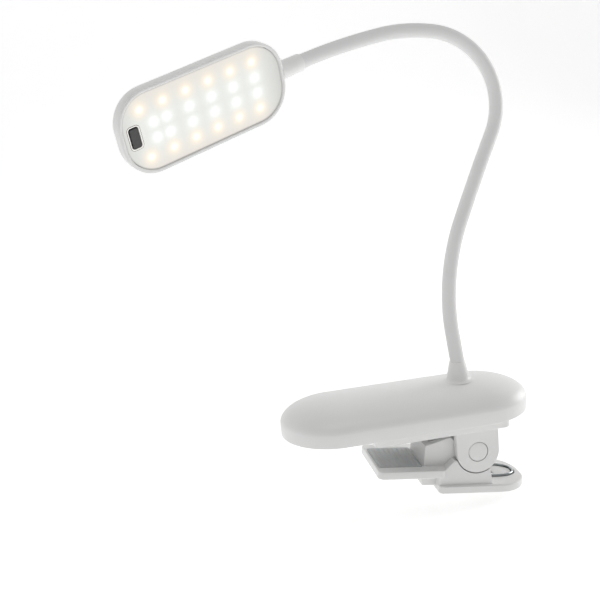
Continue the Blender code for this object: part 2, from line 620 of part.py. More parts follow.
# ---- gooseneck: pieces of a bent tube, hinged end to end ---------------------------------------
neck_start = BASE_ORIGIN + Vector((NECK_OFFSET, 0, BASE_HEIGHT + COLLAR_HEIGHT + GAP))


def neck_direction(share):
    for (s0, lean0, back0), (s1, lean1, back1) in zip(NECK_BENDS, NECK_BENDS[1:]):
        if share <= s1:
            part = (share - s0) / (s1 - s0)
            lean = radians(lean0 + (lean1 - lean0) * part)
            back = radians(back0 + (back1 - back0) * part)
            return Vector((sin(lean) * cos(back), sin(back), cos(lean) * cos(back)))
    return neck_direction(1.0)


def neck_points(start, end, spacing):
    """Points on the neck's axis between two distances along it, measured from its start."""
    fine = 0.25 * MM
    point = neck_start.copy()
    travelled = 0.0
    wanted = [start + (end - start) * i / round((end - start) / spacing)
              for i in range(round((end - start) / spacing) + 1)]
    found = []
    while len(found) < len(wanted) and travelled < NECK_LENGTH + fine:
        if travelled >= wanted[len(found)] - fine / 2:
            found.append(point.copy())
        point += neck_direction(min(1.0, (travelled + fine / 2) / NECK_LENGTH)) * fine
        travelled += fine
    return found


def make_neck():
    piece = NECK_LENGTH / NECK_PIECES
    half = JOINT_GAP / 2
    for number in range(1, NECK_PIECES + 1):
        foot = SLEEVE_RADIUS * sin(radians(-NECK_BENDS[0][1]))
        start = (number - 1) * piece + (half if number > 1 else foot)
        end = number * piece - (half if number < NECK_PIECES else GAP)
        points = neck_points(start, end, NECK_STEP)
        place(rod(f"neck_sleeve_{number}", points, SLEEVE_RADIUS, SLEEVE, sides=12, hollow=SLEEVE_WALL))
        if number == 1:
            below = BASE_HEIGHT - nut_bottom + COLLAR_HEIGHT
            points = [points[0] - Vector((0, 0, below)), points[0] - Vector((0, 0, 2 * MM))] + points[1:]
        if number == NECK_PIECES:
            tail = (points[-1] - points[-2]).normalized()
            points.append(points[-1] + tail * (HEAD_COLLAR_LENGTH - SPINE_SEAT))
        place(rod(f"neck_spine_{number}", points, SPINE_RADIUS, STEEL, hollow=SPINE_WALL))


# ---- head, in a frame whose +X runs to the gooseneck and whose +Z leaves the light face --------
def head_frame():
    along = -neck_direction(1.0)
    side = Vector((0, 0, 1)).cross(along).normalized()
    rise = along.cross(side)
    facing = -side * cos(HEAD_ROLL) - rise * sin(HEAD_ROLL)
    across = facing.cross(along)
    end = neck_points(0, NECK_LENGTH, NECK_LENGTH)[-1]
    rim = end - along * (HEAD_COLLAR_LENGTH + HEAD_LENGTH / 2) - facing * neck_level
    turn = Matrix((along, across, facing)).transposed().to_4x4()
    return Matrix.Translation(rim) @ turn


neck_level = -(HEAD_DEPTH + 0.4 * MM) / 2       # height of the neck's axis, from the rim
head = empty("head_frame", head_frame())
frame_size = (HEAD_LENGTH - 2 * HEAD_WALL - 2 * GAP, HEAD_WIDTH - 2 * HEAD_WALL - 2 * GAP)
frame_corner = HEAD_CORNER - HEAD_WALL - GAP


def head_slab(name, inset, top, thick, mat, length_cut=0.0):
    outline = outline_of(frame_size[0] - 2 * inset - length_cut, frame_size[1] - 2 * inset,
                         frame_corner - inset, -length_cut / 2)
    obj = slab(name, outline, thick, mat)
    obj.data.transform(Matrix.Translation((0, 0, top - thick / 2)))
    return place(obj, parent=head)


def make_head():
    outline = outline_of(HEAD_LENGTH, HEAD_WIDTH, HEAD_CORNER)
    shell = pan("head_shell", outline, HEAD_DEPTH, HEAD_EDGE, HEAD_WALL, WHITE)
    shell.data.transform(Matrix.Rotation(pi, 4, "X"))
    place(shell, parent=head)
    end = HEAD_LENGTH / 2
    bore = cylinders("spigot_hole", SPIGOT_RADIUS + GAP, -6 * MM, 6 * MM, [(0, 0)], 16)
    bore.data.transform(Matrix.Translation((end, 0, neck_level)) @ Matrix.Rotation(pi / 2, 4, "Y"))
    boolean(shell, bore)

    mouth = SPINE_SEAT - GAP
    profile = [(LEAD_BORE, mouth), (SPINE_HOLE, mouth), (SPINE_HOLE, HEAD_COLLAR_LENGTH),
               (HEAD_COLLAR_RADIUS - 0.6 * MM, HEAD_COLLAR_LENGTH),
               (HEAD_COLLAR_RADIUS, HEAD_COLLAR_LENGTH - 0.6 * MM), (HEAD_COLLAR_RADIUS, GAP),
               (SPIGOT_RADIUS, GAP), (SPIGOT_RADIUS, -SPIGOT_REACH), (LEAD_BORE, -SPIGOT_REACH)]
    lengthwise = (0, pi / 2, 0)
    place(turned("head_collar", profile, WHITE, 24, True), (end, 0, neck_level), lengthwise, head)
    nut_end = 0.8 * MM - SPIGOT_REACH
    nut = ring("head_nut", HEAD_NUT_RADIUS, SPIGOT_RADIUS + GAP, nut_end, nut_end + 1.6 * MM, STEEL, 12)
    place(nut, (end, 0, neck_level), lengthwise, head)

    diffuser_top = -DIFFUSER_SUNK
    diffuser_under = diffuser_top - DIFFUSER_THICK
    window = outline_of(BUTTON_SIZE[0] + 2 * GAP, BUTTON_SIZE[1] + 2 * GAP, 1.6 * MM, BUTTON_X, 3)
    diffuser = head_slab("diffuser", 0, diffuser_top, DIFFUSER_THICK, FROSTED)
    boolean(diffuser, slab("button_window", window, 8 * MM))
    board_top = -LED_BOARD_DROP
    frame_top = diffuser_under - GAP
    frame_low = board_top + GAP
    frame = head_slab("light_frame", 0, frame_top, frame_top - frame_low, WHITE)
    hole = outline_of(frame_size[0] - 2 * FRAME_WALL, frame_size[1] - 2 * FRAME_WALL,
                      frame_corner - FRAME_WALL)
    boolean(frame, slab("frame_hole", hole, 30 * MM))
    notch = (20 * MM, 2 * HEAD_NUT_RADIUS + 4 * GAP, 8 * MM)
    boolean(frame, boxes("frame_notch", notch, [(end, 0, neck_level)]))

    board = head_slab("led_board", 0.6 * MM, board_top, LED_BOARD_THICK, BOARD, LED_BOARD_CUT)
    spots = []
    for row, y in enumerate(LED_ROWS):
        for column in range(LED_COLUMNS):
            x = LED_MIDDLE + (column - (LED_COLUMNS - 1) / 2) * LED_PITCH
            if column == 0 and row in (1, 2):
                x += LED_ASIDE
            spots.append((x, y, board_top + LED_THICK / 2 - 0.2 * MM))
    boolean(board, boxes("leds", (LED_SIZE, LED_SIZE, LED_THICK + 0.4 * MM), spots), "UNION")

    button = slab("button_cap", outline_of(*BUTTON_SIZE, 1.3 * MM, 0, 3), BUTTON_THICK, GREY)
    button_top = diffuser_top + BUTTON_PROUD
    place(button, (BUTTON_X, 0, button_top - BUTTON_THICK / 2), parent=head)
    switch_low = board_top + GAP
    switch_high = button_top - BUTTON_THICK - BUTTON_TRAVEL - GAP
    place(boxes("tact_switch", (SWITCH_SIZE, SWITCH_SIZE, switch_high - switch_low), [(0, 0, 0)], GREY),
          (BUTTON_X, 0, (switch_low + switch_high) / 2), parent=head)

    spigot_end = end - SPIGOT_REACH
    lead = [Vector((spigot_end + 3 * MM, 0, neck_level)), Vector((spigot_end - 2 * MM, 0, neck_level)),
            Vector((spigot_end - 2 * MM, 0, board_top - LED_BOARD_THICK / 2))]
    place(rod("head_lead", lead, LEAD_RADIUS, LEAD), parent=head)


def make_leads():
    """The lead pairs inside the base: cell to board, and board to the gooseneck's foot."""
    board_left = board_x - BOARD_SIZE[0] / 2
    level = board_top + 1.2 * MM
    cell_end = cell_x + CELL_SIZE[0] / 2
    points = [Vector((cell_end + GAP, 6 * MM, level)),
              Vector((cell_end + 4 * MM, 6 * MM, level + MM)),
              Vector((board_left - 2 * MM, 5 * MM, level + MM)),
              Vector((board_left + 4 * MM, 4 * MM, level))]
    place(rod("cell_lead", points, LEAD_RADIUS, LEAD), parent=base)
    board_right = board_x + BOARD_SIZE[0] / 2
    foot = nut_bottom - 2 * MM
    points = [Vector((board_right - 5 * MM, 0, level)), Vector((board_right, 0, level)),
              Vector((NECK_OFFSET - 2 * MM, 0, level + MM)), Vector((NECK_OFFSET, 0, foot - GAP))]
    place(rod("neck_lead", points, LEAD_RADIUS, LEAD), parent=base)


make_base()
make_clip()
make_jaw()
make_neck()
make_head()
make_leads()
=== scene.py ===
import json
from math import cos, pi, radians, sin

import bmesh
import bpy
from mathutils import Matrix, Vector


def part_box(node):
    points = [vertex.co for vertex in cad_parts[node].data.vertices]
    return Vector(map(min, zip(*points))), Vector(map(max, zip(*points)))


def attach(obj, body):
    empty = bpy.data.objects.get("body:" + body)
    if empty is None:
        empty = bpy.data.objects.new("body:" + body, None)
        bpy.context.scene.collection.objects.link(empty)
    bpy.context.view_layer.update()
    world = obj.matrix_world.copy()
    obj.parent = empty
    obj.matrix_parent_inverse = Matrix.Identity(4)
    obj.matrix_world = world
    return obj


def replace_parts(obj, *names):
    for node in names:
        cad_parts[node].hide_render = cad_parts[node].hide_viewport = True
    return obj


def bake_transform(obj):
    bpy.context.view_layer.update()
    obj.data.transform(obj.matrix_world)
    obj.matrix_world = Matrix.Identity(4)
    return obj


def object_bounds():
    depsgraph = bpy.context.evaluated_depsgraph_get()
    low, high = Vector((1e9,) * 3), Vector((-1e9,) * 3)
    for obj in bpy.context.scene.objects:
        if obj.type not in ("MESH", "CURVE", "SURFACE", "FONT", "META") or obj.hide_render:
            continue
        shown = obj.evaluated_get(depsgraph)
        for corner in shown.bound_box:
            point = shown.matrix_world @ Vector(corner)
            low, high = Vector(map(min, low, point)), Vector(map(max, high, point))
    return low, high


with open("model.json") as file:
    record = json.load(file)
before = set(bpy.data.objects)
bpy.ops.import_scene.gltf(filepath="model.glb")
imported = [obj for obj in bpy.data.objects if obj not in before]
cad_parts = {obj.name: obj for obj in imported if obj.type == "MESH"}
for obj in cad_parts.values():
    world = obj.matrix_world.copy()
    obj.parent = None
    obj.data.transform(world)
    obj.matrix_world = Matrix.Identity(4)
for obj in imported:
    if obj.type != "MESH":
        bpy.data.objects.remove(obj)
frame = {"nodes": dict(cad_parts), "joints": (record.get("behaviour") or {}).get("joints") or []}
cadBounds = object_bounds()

# Clip-on reading lamp: the looks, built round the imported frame. Metres, +Z up, -Y the front.
mm = 0.001
nodes = frame["nodes"]
joints = {joint["name"]: joint for joint in frame["joints"]}


# a small way to write node trees
class Wire:
    # a node's socket that takes part in sums
    def __init__(self, recipe, socket):
        self.recipe = recipe
        self.socket = socket

    def sum(self, operation, *values):
        return self.recipe.node("ShaderNodeMath", {"operation": operation}, dict(enumerate(values)))

    def __add__(self, other):
        return self.sum("ADD", self, other)

    def __radd__(self, other):
        return self.sum("ADD", other, self)

    def __sub__(self, other):
        return self.sum("SUBTRACT", self, other)

    def __rsub__(self, other):
        return self.sum("SUBTRACT", other, self)

    def __mul__(self, other):
        return self.sum("MULTIPLY", self, other)

    def __rmul__(self, other):
        return self.sum("MULTIPLY", other, self)

    def __truediv__(self, other):
        return self.sum("DIVIDE", self, other)

    def __rtruediv__(self, other):
        return self.sum("DIVIDE", other, self)

    def __lt__(self, other):
        return self.sum("LESS_THAN", self, other)

    def __gt__(self, other):
        return self.sum("GREATER_THAN", self, other)

    def __abs__(self):
        return self.sum("ABSOLUTE", self)


class Recipe:
    # makes nodes in a tree: their settings first, then the values or links of their sockets
    def __init__(self, tree):
        self.tree = tree

    def node(self, kind, settings=None, inputs=None, output=0):
        made = self.tree.nodes.new(kind)
        for key, value in (settings or {}).items():
            setattr(made, key, value)
        for key, value in (inputs or {}).items():
            self.feed(made.inputs[key], value)
        return Wire(self, made.outputs[output])

    def feed(self, socket, value):
        if isinstance(value, Wire):
            self.tree.links.new(value.socket, socket)
        else:
            socket.default_value = value


class Finish(Recipe):
    # a Principled material whose pattern is read from Object coordinates
    def __init__(self, name, **fixed):
        self.material = bpy.data.materials.new(name)
        self.material.use_nodes = True
        super().__init__(self.material.node_tree)
        self.shader = self.tree.nodes["Principled BSDF"]
        self.set(**fixed)
        self.at = self.node("ShaderNodeTexCoord", output="Object")

    def set(self, **values):
        for key, value in values.items():
            self.feed(self.shader.inputs[key.replace("_", " ")], value)

    def noise(self, size, detail=2.0):
        return self.node("ShaderNodeTexNoise", None, {"Vector": self.at, "Scale": 1 / size, "Detail": detail})

    def mix(self, share, first, second):
        return self.node("ShaderNodeMix", {"data_type": "RGBA"}, {0: share, 6: first, 7: second}, 2)

    def bump(self, height, strength, distance):
        self.set(Normal=self.node("ShaderNodeBump", None, {"Strength": strength, "Distance": distance,
                                                           "Height": height}))


def shade(colour, factor=1.0):
    return (*[part * factor for part in colour], 1.0)


# finishes
finishes = {
    "shell": (0.80, 0.80, 0.79),
    "base": (0.80, 0.80, 0.79),
    "clip": (0.78, 0.78, 0.77),
    "sleeve": (0.76, 0.76, 0.755),
    "button": (0.075, 0.073, 0.073),
    "pad": (0.52, 0.53, 0.53),
}


def mouldedPlastic(name, colour, roughness=0.36, sparkSize=0.22 * mm):
    # satin moulded plastic: a spark-eroded skin and slow drifts of tone and gloss
    finish = Finish(name, Coat_Roughness=0.35, Specular_IOR_Level=0.45)
    drift = finish.noise(38 * mm, 3.0)
    spark = finish.noise(sparkSize, 2.0)
    finish.set(Base_Color=finish.mix(drift, shade(colour, 0.975), shade(colour, 1.01)),
               Roughness=roughness + (drift - 0.5) * 0.07 + (spark - 0.5) * 0.10)
    finish.bump(spark, 0.12, 0.03 * mm)
    return finish.material


def siliconeSleeve(name, colour):
    # matt silicone with fine dust in its skin
    finish = Finish(name, Specular_IOR_Level=0.35)
    drift = finish.noise(22 * mm, 3.0)
    grain = finish.noise(0.35 * mm, 3.0)
    finish.set(Base_Color=finish.mix(drift, shade(colour, 0.965), shade(colour, 1.01)),
               Roughness=0.52 + (grain - 0.5) * 0.14)
    finish.bump(grain, 0.16, 0.04 * mm)
    return finish.material


def brightSteel(name, colour=(0.60, 0.61, 0.62), roughness=0.22):
    finish = Finish(name, Metallic=1.0)
    drawn = finish.noise(0.5 * mm, 4.0)
    cloud = finish.noise(6 * mm, 2.0)
    finish.set(Base_Color=finish.mix(cloud, shade(colour, 0.88), shade(colour, 1.06)),
               Roughness=roughness + (drawn - 0.5) * 0.16)
    finish.bump(drawn, 0.08, 0.02 * mm)
    return finish.material


def clearRubber(name, colour):
    finish = Finish(name, Subsurface_Weight=0.25, Subsurface_Scale=0.6 * mm, Specular_IOR_Level=0.4)
    cloud = finish.noise(9 * mm, 2.0)
    skin = finish.noise(0.5 * mm, 3.0)
    finish.set(Base_Color=finish.mix(cloud, shade(colour, 0.93), shade(colour, 1.05)),
               Roughness=0.58 + (skin - 0.5) * 0.2)
    finish.bump(skin, 0.2, 0.05 * mm)
    return finish.material


def litPlastic(name):
    # white plastic with the lamp's light coming through it
    finish = Finish(name, Emission_Color=(1.0, 0.97, 0.92, 1), Emission_Strength=0.42, Roughness=0.4)
    cloud = finish.noise(2 * mm, 2.0)
    finish.set(Base_Color=finish.mix(cloud, (0.66, 0.65, 0.63, 1), (0.74, 0.73, 0.71, 1)))
    return finish.material


def darkButton(name, colour):
    finish = Finish(name, Specular_IOR_Level=0.35)
    cloud = finish.noise(5 * mm, 2.0)
    spark = finish.noise(0.18 * mm, 2.0)
    finish.set(Base_Color=finish.mix(cloud, shade(colour, 0.9), shade(colour, 1.12)),
               Roughness=0.5 + (spark - 0.5) * 0.2)
    finish.bump(spark, 0.2, 0.03 * mm)
    return finish.material


def circuitBoard(name, mask, copper):
    # solder mask over tracks: a grid of thin ridges, a little lighter than the mask
    finish = Finish(name, Coat_Weight=0.4, Coat_Roughness=0.2)
    track = finish.node("ShaderNodeTexBrick", {"offset": 0.37, "squash": 0.7},
                        {"Vector": finish.at, "Scale": 320.0, "Mortar Size": 0.035, "Color1": shade((0, 0, 0)),
                         "Color2": shade((0, 0, 0)), "Mortar": shade((1, 1, 1))})
    cloud = finish.noise(4 * mm, 2.0)
    ground = finish.mix(cloud, shade(mask, 0.9), shade(mask, 1.1))
    finish.set(Base_Color=finish.mix(track, ground, shade(copper)),
               Roughness=0.34 + cloud * 0.12)
    finish.bump(track, 0.3, 0.04 * mm)
    return finish.material


def cellWrap(name, colour):
    # shrink film: soft wrinkles that run round the cell
    finish = Finish(name, Coat_Weight=0.5, Coat_Roughness=0.15)
    wrinkle = finish.noise(3.5 * mm, 4.0)
    finish.set(Base_Color=finish.mix(wrinkle, shade(colour, 0.85), shade(colour, 1.15)),
               Roughness=0.3 + (wrinkle - 0.5) * 0.2)
    finish.bump(wrinkle, 0.3, 0.2 * mm)
    return finish.material


def leadSkin(name, first, second):
    # twin lead: two colours that twist round each other
    finish = Finish(name)
    bands = finish.node("ShaderNodeTexWave", {"wave_type": "BANDS", "bands_direction": "DIAGONAL"},
                        {"Vector": finish.at, "Scale": 220.0, "Distortion": 0.4})
    sharp = bands > 0.5
    finish.set(Base_Color=finish.mix(sharp, shade(first), shade(second)), Roughness=0.4 + bands * 0.1)
    return finish.material


whiteShell = mouldedPlastic("headPlastic", finishes["shell"])
whiteBase = mouldedPlastic("basePlastic", finishes["base"])
whiteClip = mouldedPlastic("clipPlastic", finishes["clip"], 0.40, 0.3 * mm)
sleeveSkin = siliconeSleeve("sleeveSilicone", finishes["sleeve"])
steel = brightSteel("screwSteel")
wireSteel = brightSteel("springSteel", (0.40, 0.43, 0.44), 0.14)
dullSteel = brightSteel("spineSteel", (0.42, 0.42, 0.43), 0.38)
padRubber = clearRubber("gripRubber", finishes["pad"])
buttonSkin = darkButton("buttonPlastic", finishes["button"])
# near-black painted shade: the button's edge coloured as the shade in the gap round the button
gapShadeSkirt = darkButton("skirtPlastic", (0.006, 0.006, 0.007))
sealRubber = darkButton("sealRubber", (0.23, 0.21, 0.19))
greenBoard = circuitBoard("chargeBoardMask", (0.02, 0.12, 0.05), (0.09, 0.24, 0.10))
whiteBoard = circuitBoard("lightBoardMask", (0.72, 0.73, 0.72), (0.80, 0.80, 0.78))
cellSkin = cellWrap("cellWrap", (0.07, 0.16, 0.40))
leadPair = leadSkin("leadPair", (0.55, 0.02, 0.02), (0.03, 0.03, 0.03))
print("finishes made")


# mesh helpers
def keep(name, bm, material, place=Matrix.Identity(4), sharp=32):
    # a finished mesh at its place, smooth but for its sharp edges
    bmesh.ops.remove_doubles(bm, verts=bm.verts, dist=0.0005 * mm)
    bmesh.ops.dissolve_degenerate(bm, edges=bm.edges, dist=0.0005 * mm)
    bmesh.ops.recalc_face_normals(bm, faces=bm.faces)
    bm.transform(place)
    mesh = bpy.data.meshes.new(name)
    bm.to_mesh(mesh)
    bm.free()
    return show(name, mesh, material, sharp)


def show(name, mesh, material, sharp=32):
    mesh.materials.clear()
    if material:
        mesh.materials.append(material)
    mesh.shade_smooth()
    mesh.set_sharp_from_angle(angle=radians(sharp))
    piece = bpy.data.objects.new(name, mesh)
    bpy.context.scene.collection.objects.link(piece)
    return piece


def loft(rings, closed=False):
    # skin over rings with the same count of points; open ones get their two caps
    bm = bmesh.new()
    grid = [[bm.verts.new(point) for point in ring] for ring in rings]
    count = len(grid[0])
    pairs = list(zip(grid, grid[1:]))
    if closed:
        pairs.append((grid[-1], grid[0]))
    for low, high in pairs:
        for i in range(count):
            j = (i + 1) % count
            bm.faces.new((low[i], low[j], high[j], high[i]))
    if not closed:
        bm.faces.new(grid[0][::-1])
        bm.faces.new(grid[-1])
    return bm


def roundedOutline(length, width, corner, middle=0.0, steps=12):
    return cornerOutline(middle - length / 2, middle + length / 2, width / 2, (corner,) * 4, steps)


def cornerOutline(left, right, half, corners, steps=12):
    # rectangle with its own radius at each corner, anticlockwise from the right back one
    points = []
    for (sx, sy, start), corner in zip(((1, 1, 0), (-1, 1, 90), (-1, -1, 180), (1, -1, 270)), corners):
        cx = (right - corner) if sx > 0 else (left + corner)
        cy = sy * (half - corner)
        for step in range(steps + 1):
            angle = radians(start + 90 * step / steps)
            points.append(Vector((cx + corner * cos(angle), cy + corner * sin(angle), 0)))
    return [p for i, p in enumerate(points) if (p - points[i - 1]).length > 0.01 * mm]


def shrink(outline, inset, level):
    # the outline moved in by a mitred inset, at a height
    moved = []
    count = len(outline)
    for i, point in enumerate(outline):
        before = (point - outline[i - 1]).normalized()
        after = (outline[(i + 1) % count] - point).normalized()
        first = Vector((-before.y, before.x, 0))
        second = Vector((-after.y, after.x, 0))
        moved.append(point + (first + second) * (inset / (1 + first.dot(second))) + Vector((0, 0, level)))
    return moved


def quarter(inset, level, radius, start, end, steps=6):
    # points of a rounded edge, as (inset, height) about its centre
    return [(inset + radius * cos(radians(start + (end - start) * i / steps)),
             level + radius * sin(radians(start + (end - start) * i / steps))) for i in range(steps + 1)]


def layers(outline, profile, closed=False):
    return loft([shrink(outline, inset, level) for inset, level in profile], closed)


def softSlab(outline, low, high, edge, upper=None):
    # a plate with rounded edges; the upper edge may have its own radius
    upper = edge if upper is None else upper
    profile = quarter(edge, low + edge, edge, 270, 180, 4) + quarter(upper, high - upper, upper, 180, 90, 4)
    return layers(outline, profile)


def circle(radius, level, steps=64):
    turns = [2 * pi * i / steps for i in range(steps)]
    return [Vector((radius * cos(a), radius * sin(a), level)) for a in turns]


def lathe(profile, steps=64, closed=False):
    return loft([circle(radius, level, steps) for radius, level in profile], closed)


def upright(matrix=Matrix.Identity(4)):
    # turns a slab's plane from XY to XZ
    return matrix @ Matrix.Rotation(pi / 2, 4, "X")


def carve(target, tools):
    # unions and cuts in turn, then a plain mesh again
    for tool, way in tools:
        step = target.modifiers.new(tool.name, "BOOLEAN")
        step.operation = way
        step.solver = "EXACT"
        step.object = tool
    graph = bpy.context.evaluated_depsgraph_get()
    mesh = bpy.data.meshes.new_from_object(target.evaluated_get(graph))
    name = target.name
    material = target.data.materials[0]
    bpy.data.objects.remove(target, do_unlink=True)
    for tool, _ in tools:
        bpy.data.objects.remove(tool, do_unlink=True)
    return show(name, mesh, material)


def paint(names, material):
    for name in names:
        for slot in nodes[name].material_slots:
            slot.material = material


# geometry node trees
def nodeTree(name, sockets):
    tree = bpy.data.node_groups.new(name, "GeometryNodeTree")
    tree.interface.new_socket("Geometry", in_out="OUTPUT", socket_type="NodeSocketGeometry")
    tree.interface.new_socket("Geometry", in_out="INPUT", socket_type="NodeSocketGeometry")
    for label, kind in sockets:
        tree.interface.new_socket(label, in_out="INPUT", socket_type=kind)
    recipe = Recipe(tree)
    given = tree.nodes.new("NodeGroupInput")
    return recipe, {socket.name: Wire(recipe, socket) for socket in given.outputs if socket.name}


def finishTree(recipe, geometry, material):
    real = recipe.node("GeometryNodeRealizeInstances", None, {"Geometry": geometry})
    skinned = recipe.node("GeometryNodeSetMaterial", None, {"Geometry": real, "Material": material})
    result = recipe.tree.nodes.new("NodeGroupOutput")
    recipe.feed(result.inputs[0], skinned)
    return recipe.tree


def tubeTree():
    # a round skin along a curve
    recipe, given = nodeTree("tubeAlongPath", (("Radius", "NodeSocketFloat"), ("Sides", "NodeSocketInt"),
                                               ("Skin", "NodeSocketMaterial")))
    ring = recipe.node("GeometryNodeCurvePrimitiveCircle", None, {"Resolution": given["Sides"],
                                                                  "Radius": given["Radius"]})
    tube = recipe.node("GeometryNodeCurveToMesh", None, {"Curve": given["Geometry"], "Profile Curve": ring,
                                                         "Fill Caps": True})
    return finishTree(recipe, tube, given["Skin"])


def repeatTree():
    # one piece set on every point
    recipe, given = nodeTree("repeatOnPoints", (("Piece", "NodeSocketObject"), ("Skin", "NodeSocketMaterial")))
    piece = recipe.node("GeometryNodeObjectInfo", {"transform_space": "ORIGINAL"}, {"Object": given["Piece"]},
                        "Geometry")
    spots = recipe.node("GeometryNodeMeshToPoints", None, {"Mesh": given["Geometry"]})
    copies = recipe.node("GeometryNodeInstanceOnPoints", None, {"Points": spots, "Instance": piece})
    return finishTree(recipe, copies, given["Skin"])


tubeAlongPath = tubeTree()
repeatOnPoints = repeatTree()


def grow(name, tree, source, values, material, place=Matrix.Identity(4), sharp=32):
    # runs a tree on a source and keeps the result as a plain mesh
    guide = bpy.data.objects.new(name + "Guide", source)
    bpy.context.scene.collection.objects.link(guide)
    step = guide.modifiers.new("grow", "NODES")
    step.node_group = tree
    keys = {item.name: item.identifier for item in tree.interface.items_tree if item.in_out == "INPUT"}
    for label, value in {**values, "Skin": material}.items():
        step[keys[label]] = value
    graph = bpy.context.evaluated_depsgraph_get()
    mesh = bpy.data.meshes.new_from_object(guide.evaluated_get(graph))
    bpy.data.objects.remove(guide, do_unlink=True)
    bm = bmesh.new()
    bm.from_mesh(mesh)
    bpy.data.meshes.remove(mesh)
    return keep(name, bm, material, place, sharp)


def tube(name, points, radius, material, sides=24, place=Matrix.Identity(4), sharp=50):
    path = bpy.data.curves.new(name, "CURVE")
    path.dimensions = "3D"
    spline = path.splines.new("POLY")
    spline.points.add(len(points) - 1)
    for spot, point in zip(spline.points, points):
        spot.co = (*point, 1)
    return grow(name, tubeAlongPath, path, {"Radius": radius, "Sides": sides}, material, place, sharp)


def repeat(name, model, spots, material, place=Matrix.Identity(4), sharp=32):
    points = bpy.data.meshes.new(name + "Spots")
    points.from_pydata([tuple(spot) for spot in spots], [], [])
    piece = grow(name, repeatOnPoints, points, {"Piece": model}, material, place, sharp)
    bpy.data.objects.remove(model, do_unlink=True)
    return piece


# base: cover, collar, inlet and screws
base = {
    "shoulder": 7.5 * mm,       # where the upright side turns into the dome
    "fullness": 2.0,            # power of the dome's curve: 2 is an ellipse
    "wall": 2.0 * mm,
    "foot": 0.5 * mm,           # rounding of the bottom rim
    "gap": 0.3 * mm,
    "collarRadius": 5.0 * mm,   # at the top of the cone
    "collarWaist": 6.9 * mm,    # where the cone meets its flare
    "collarFoot": 9.4 * mm,
    "collarFlare": 3.0 * mm,
    "collarBore": 2.9 * mm,
    "collarSunk": 0.7 * mm,     # the flare's lip goes a little into the dome
    "inletSize": (8.9 * mm, 3.2 * mm),
    "inletWall": 0.35 * mm,
    "tongueSize": (6.7 * mm, 0.7 * mm),
}
screw = {
    "headThick": 1.1 * mm,
    "shank": 0.48,              # share of the head's radius
    "crest": 1.18,              # share of the shank's radius
    "pitch": 0.7 * mm,
    "tip": 1.5 * mm,            # smooth end
    "recess": (1.15, 0.7 * mm, 0.75 * mm),      # length as a share of the head's radius, width, depth
}
coverLow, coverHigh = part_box("base_cover")
basePlace = Matrix.Translation(((coverLow.x + coverHigh.x) / 2, 0, coverLow.z))
baseLength = coverHigh.x - coverLow.x
baseWidth = coverHigh.y - coverLow.y
baseHeight = coverHigh.z - coverLow.z


def domeLine(reach, rise, start):
    # (inset, height) down the dome from near its middle to its edge
    power = base["fullness"]
    turns = [radians(t) for t in list(range(4, 60, 4)) + list(range(60, 91, 3))]
    return [(start + reach * (1 - sin(t) ** (2 / power)), base["shoulder"] + rise * cos(t) ** (2 / power))
            for t in turns]


def makeCover():
    outline = roundedOutline(baseLength, baseWidth, baseWidth / 2, steps=24)
    reach, wall, foot = baseWidth / 2, base["wall"], base["foot"]
    outside = quarter(foot, foot, foot, 270, 180, 4)
    outside += domeLine(reach, baseHeight - base["shoulder"], 0)[::-1]
    inside = [(wall + 0.5 * mm, 0), (wall, 0.5 * mm)]
    inside += domeLine(reach - wall, baseHeight - wall - base["shoulder"], wall)[::-1]
    bm = layers(outline, inside[::-1] + outside)
    cover = keep("baseCover", bm, whiteBase, basePlace, 50)
    low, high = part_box("usb_socket")
    width, tall = (size + 2 * base["gap"] for size in base["inletSize"])
    slot = roundedOutline(width, tall, tall / 2 - 0.02 * mm)
    reach = 8 * mm              # further than the slot is deep
    middle = Matrix.Translation(((low.x + high.x) / 2, high.y, (low.z + high.z) / 2))
    tool = keep("inletSlot", layers(slot, [(0, -reach), (0, reach)]), None, upright(middle))
    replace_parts(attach(carve(cover, [(tool, "DIFFERENCE")]), "base"), "base_cover")


def makeCollar():
    low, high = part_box("base_collar")
    place = Matrix.Translation(((low.x + high.x) / 2, 0, low.z))
    radius, waist, foot, flare = (base["collar" + key] for key in ("Radius", "Waist", "Foot", "Flare"))
    tall = high.z - low.z
    bore, sunk = base["collarBore"], base["collarSunk"]
    profile = [(bore, -sunk), (foot + 0.4 * mm, -sunk)]
    profile += [(foot - (foot - waist) * sin(a), flare * (1 - cos(a)) - 0.35 * mm)
                for a in (radians(d) for d in range(0, 91, 9))]
    profile += [(radius + (waist - radius) * 0.5, flare + (tall - flare) * 0.47),
                (radius + 0.03 * mm, tall - 0.9 * mm), (radius - 0.08 * mm, tall - 0.4 * mm),
                (radius - 0.3 * mm, tall - 0.1 * mm),
                (radius - 0.6 * mm, tall), (bore, tall)]
    collar = keep("neckCollar", lathe(profile, 72, True), whiteBase, place, 40)
    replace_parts(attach(collar, "base"), "base_collar")


def makeInlet():
    # USB-C inlet: a folded steel mouth round a dark tongue
    low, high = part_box("usb_socket")
    width, tall = base["inletSize"]
    wall = base["inletWall"]
    deep = high.y - low.y
    place = upright(Matrix.Translation(((low.x + high.x) / 2, high.y, (low.z + high.z) / 2)))
    outline = roundedOutline(width, tall, tall / 2 - 0.02 * mm)
    profile = [(0, deep), (0, 0.1 * mm), (0.1 * mm, 0), (wall - 0.1 * mm, 0), (wall, 0.1 * mm),
               (wall, deep - 0.5 * mm)]
    mouth = keep("inletMouth", layers(outline, profile), steel, place)
    tongue = roundedOutline(*base["tongueSize"], 0.2 * mm)
    blade = keep("inletTongue", softSlab(tongue, 1.2 * mm, deep - 0.3 * mm, 0.15 * mm), buttonSkin, place)
    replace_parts(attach(mouth, "base"), "usb_socket")
    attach(blade, "base")


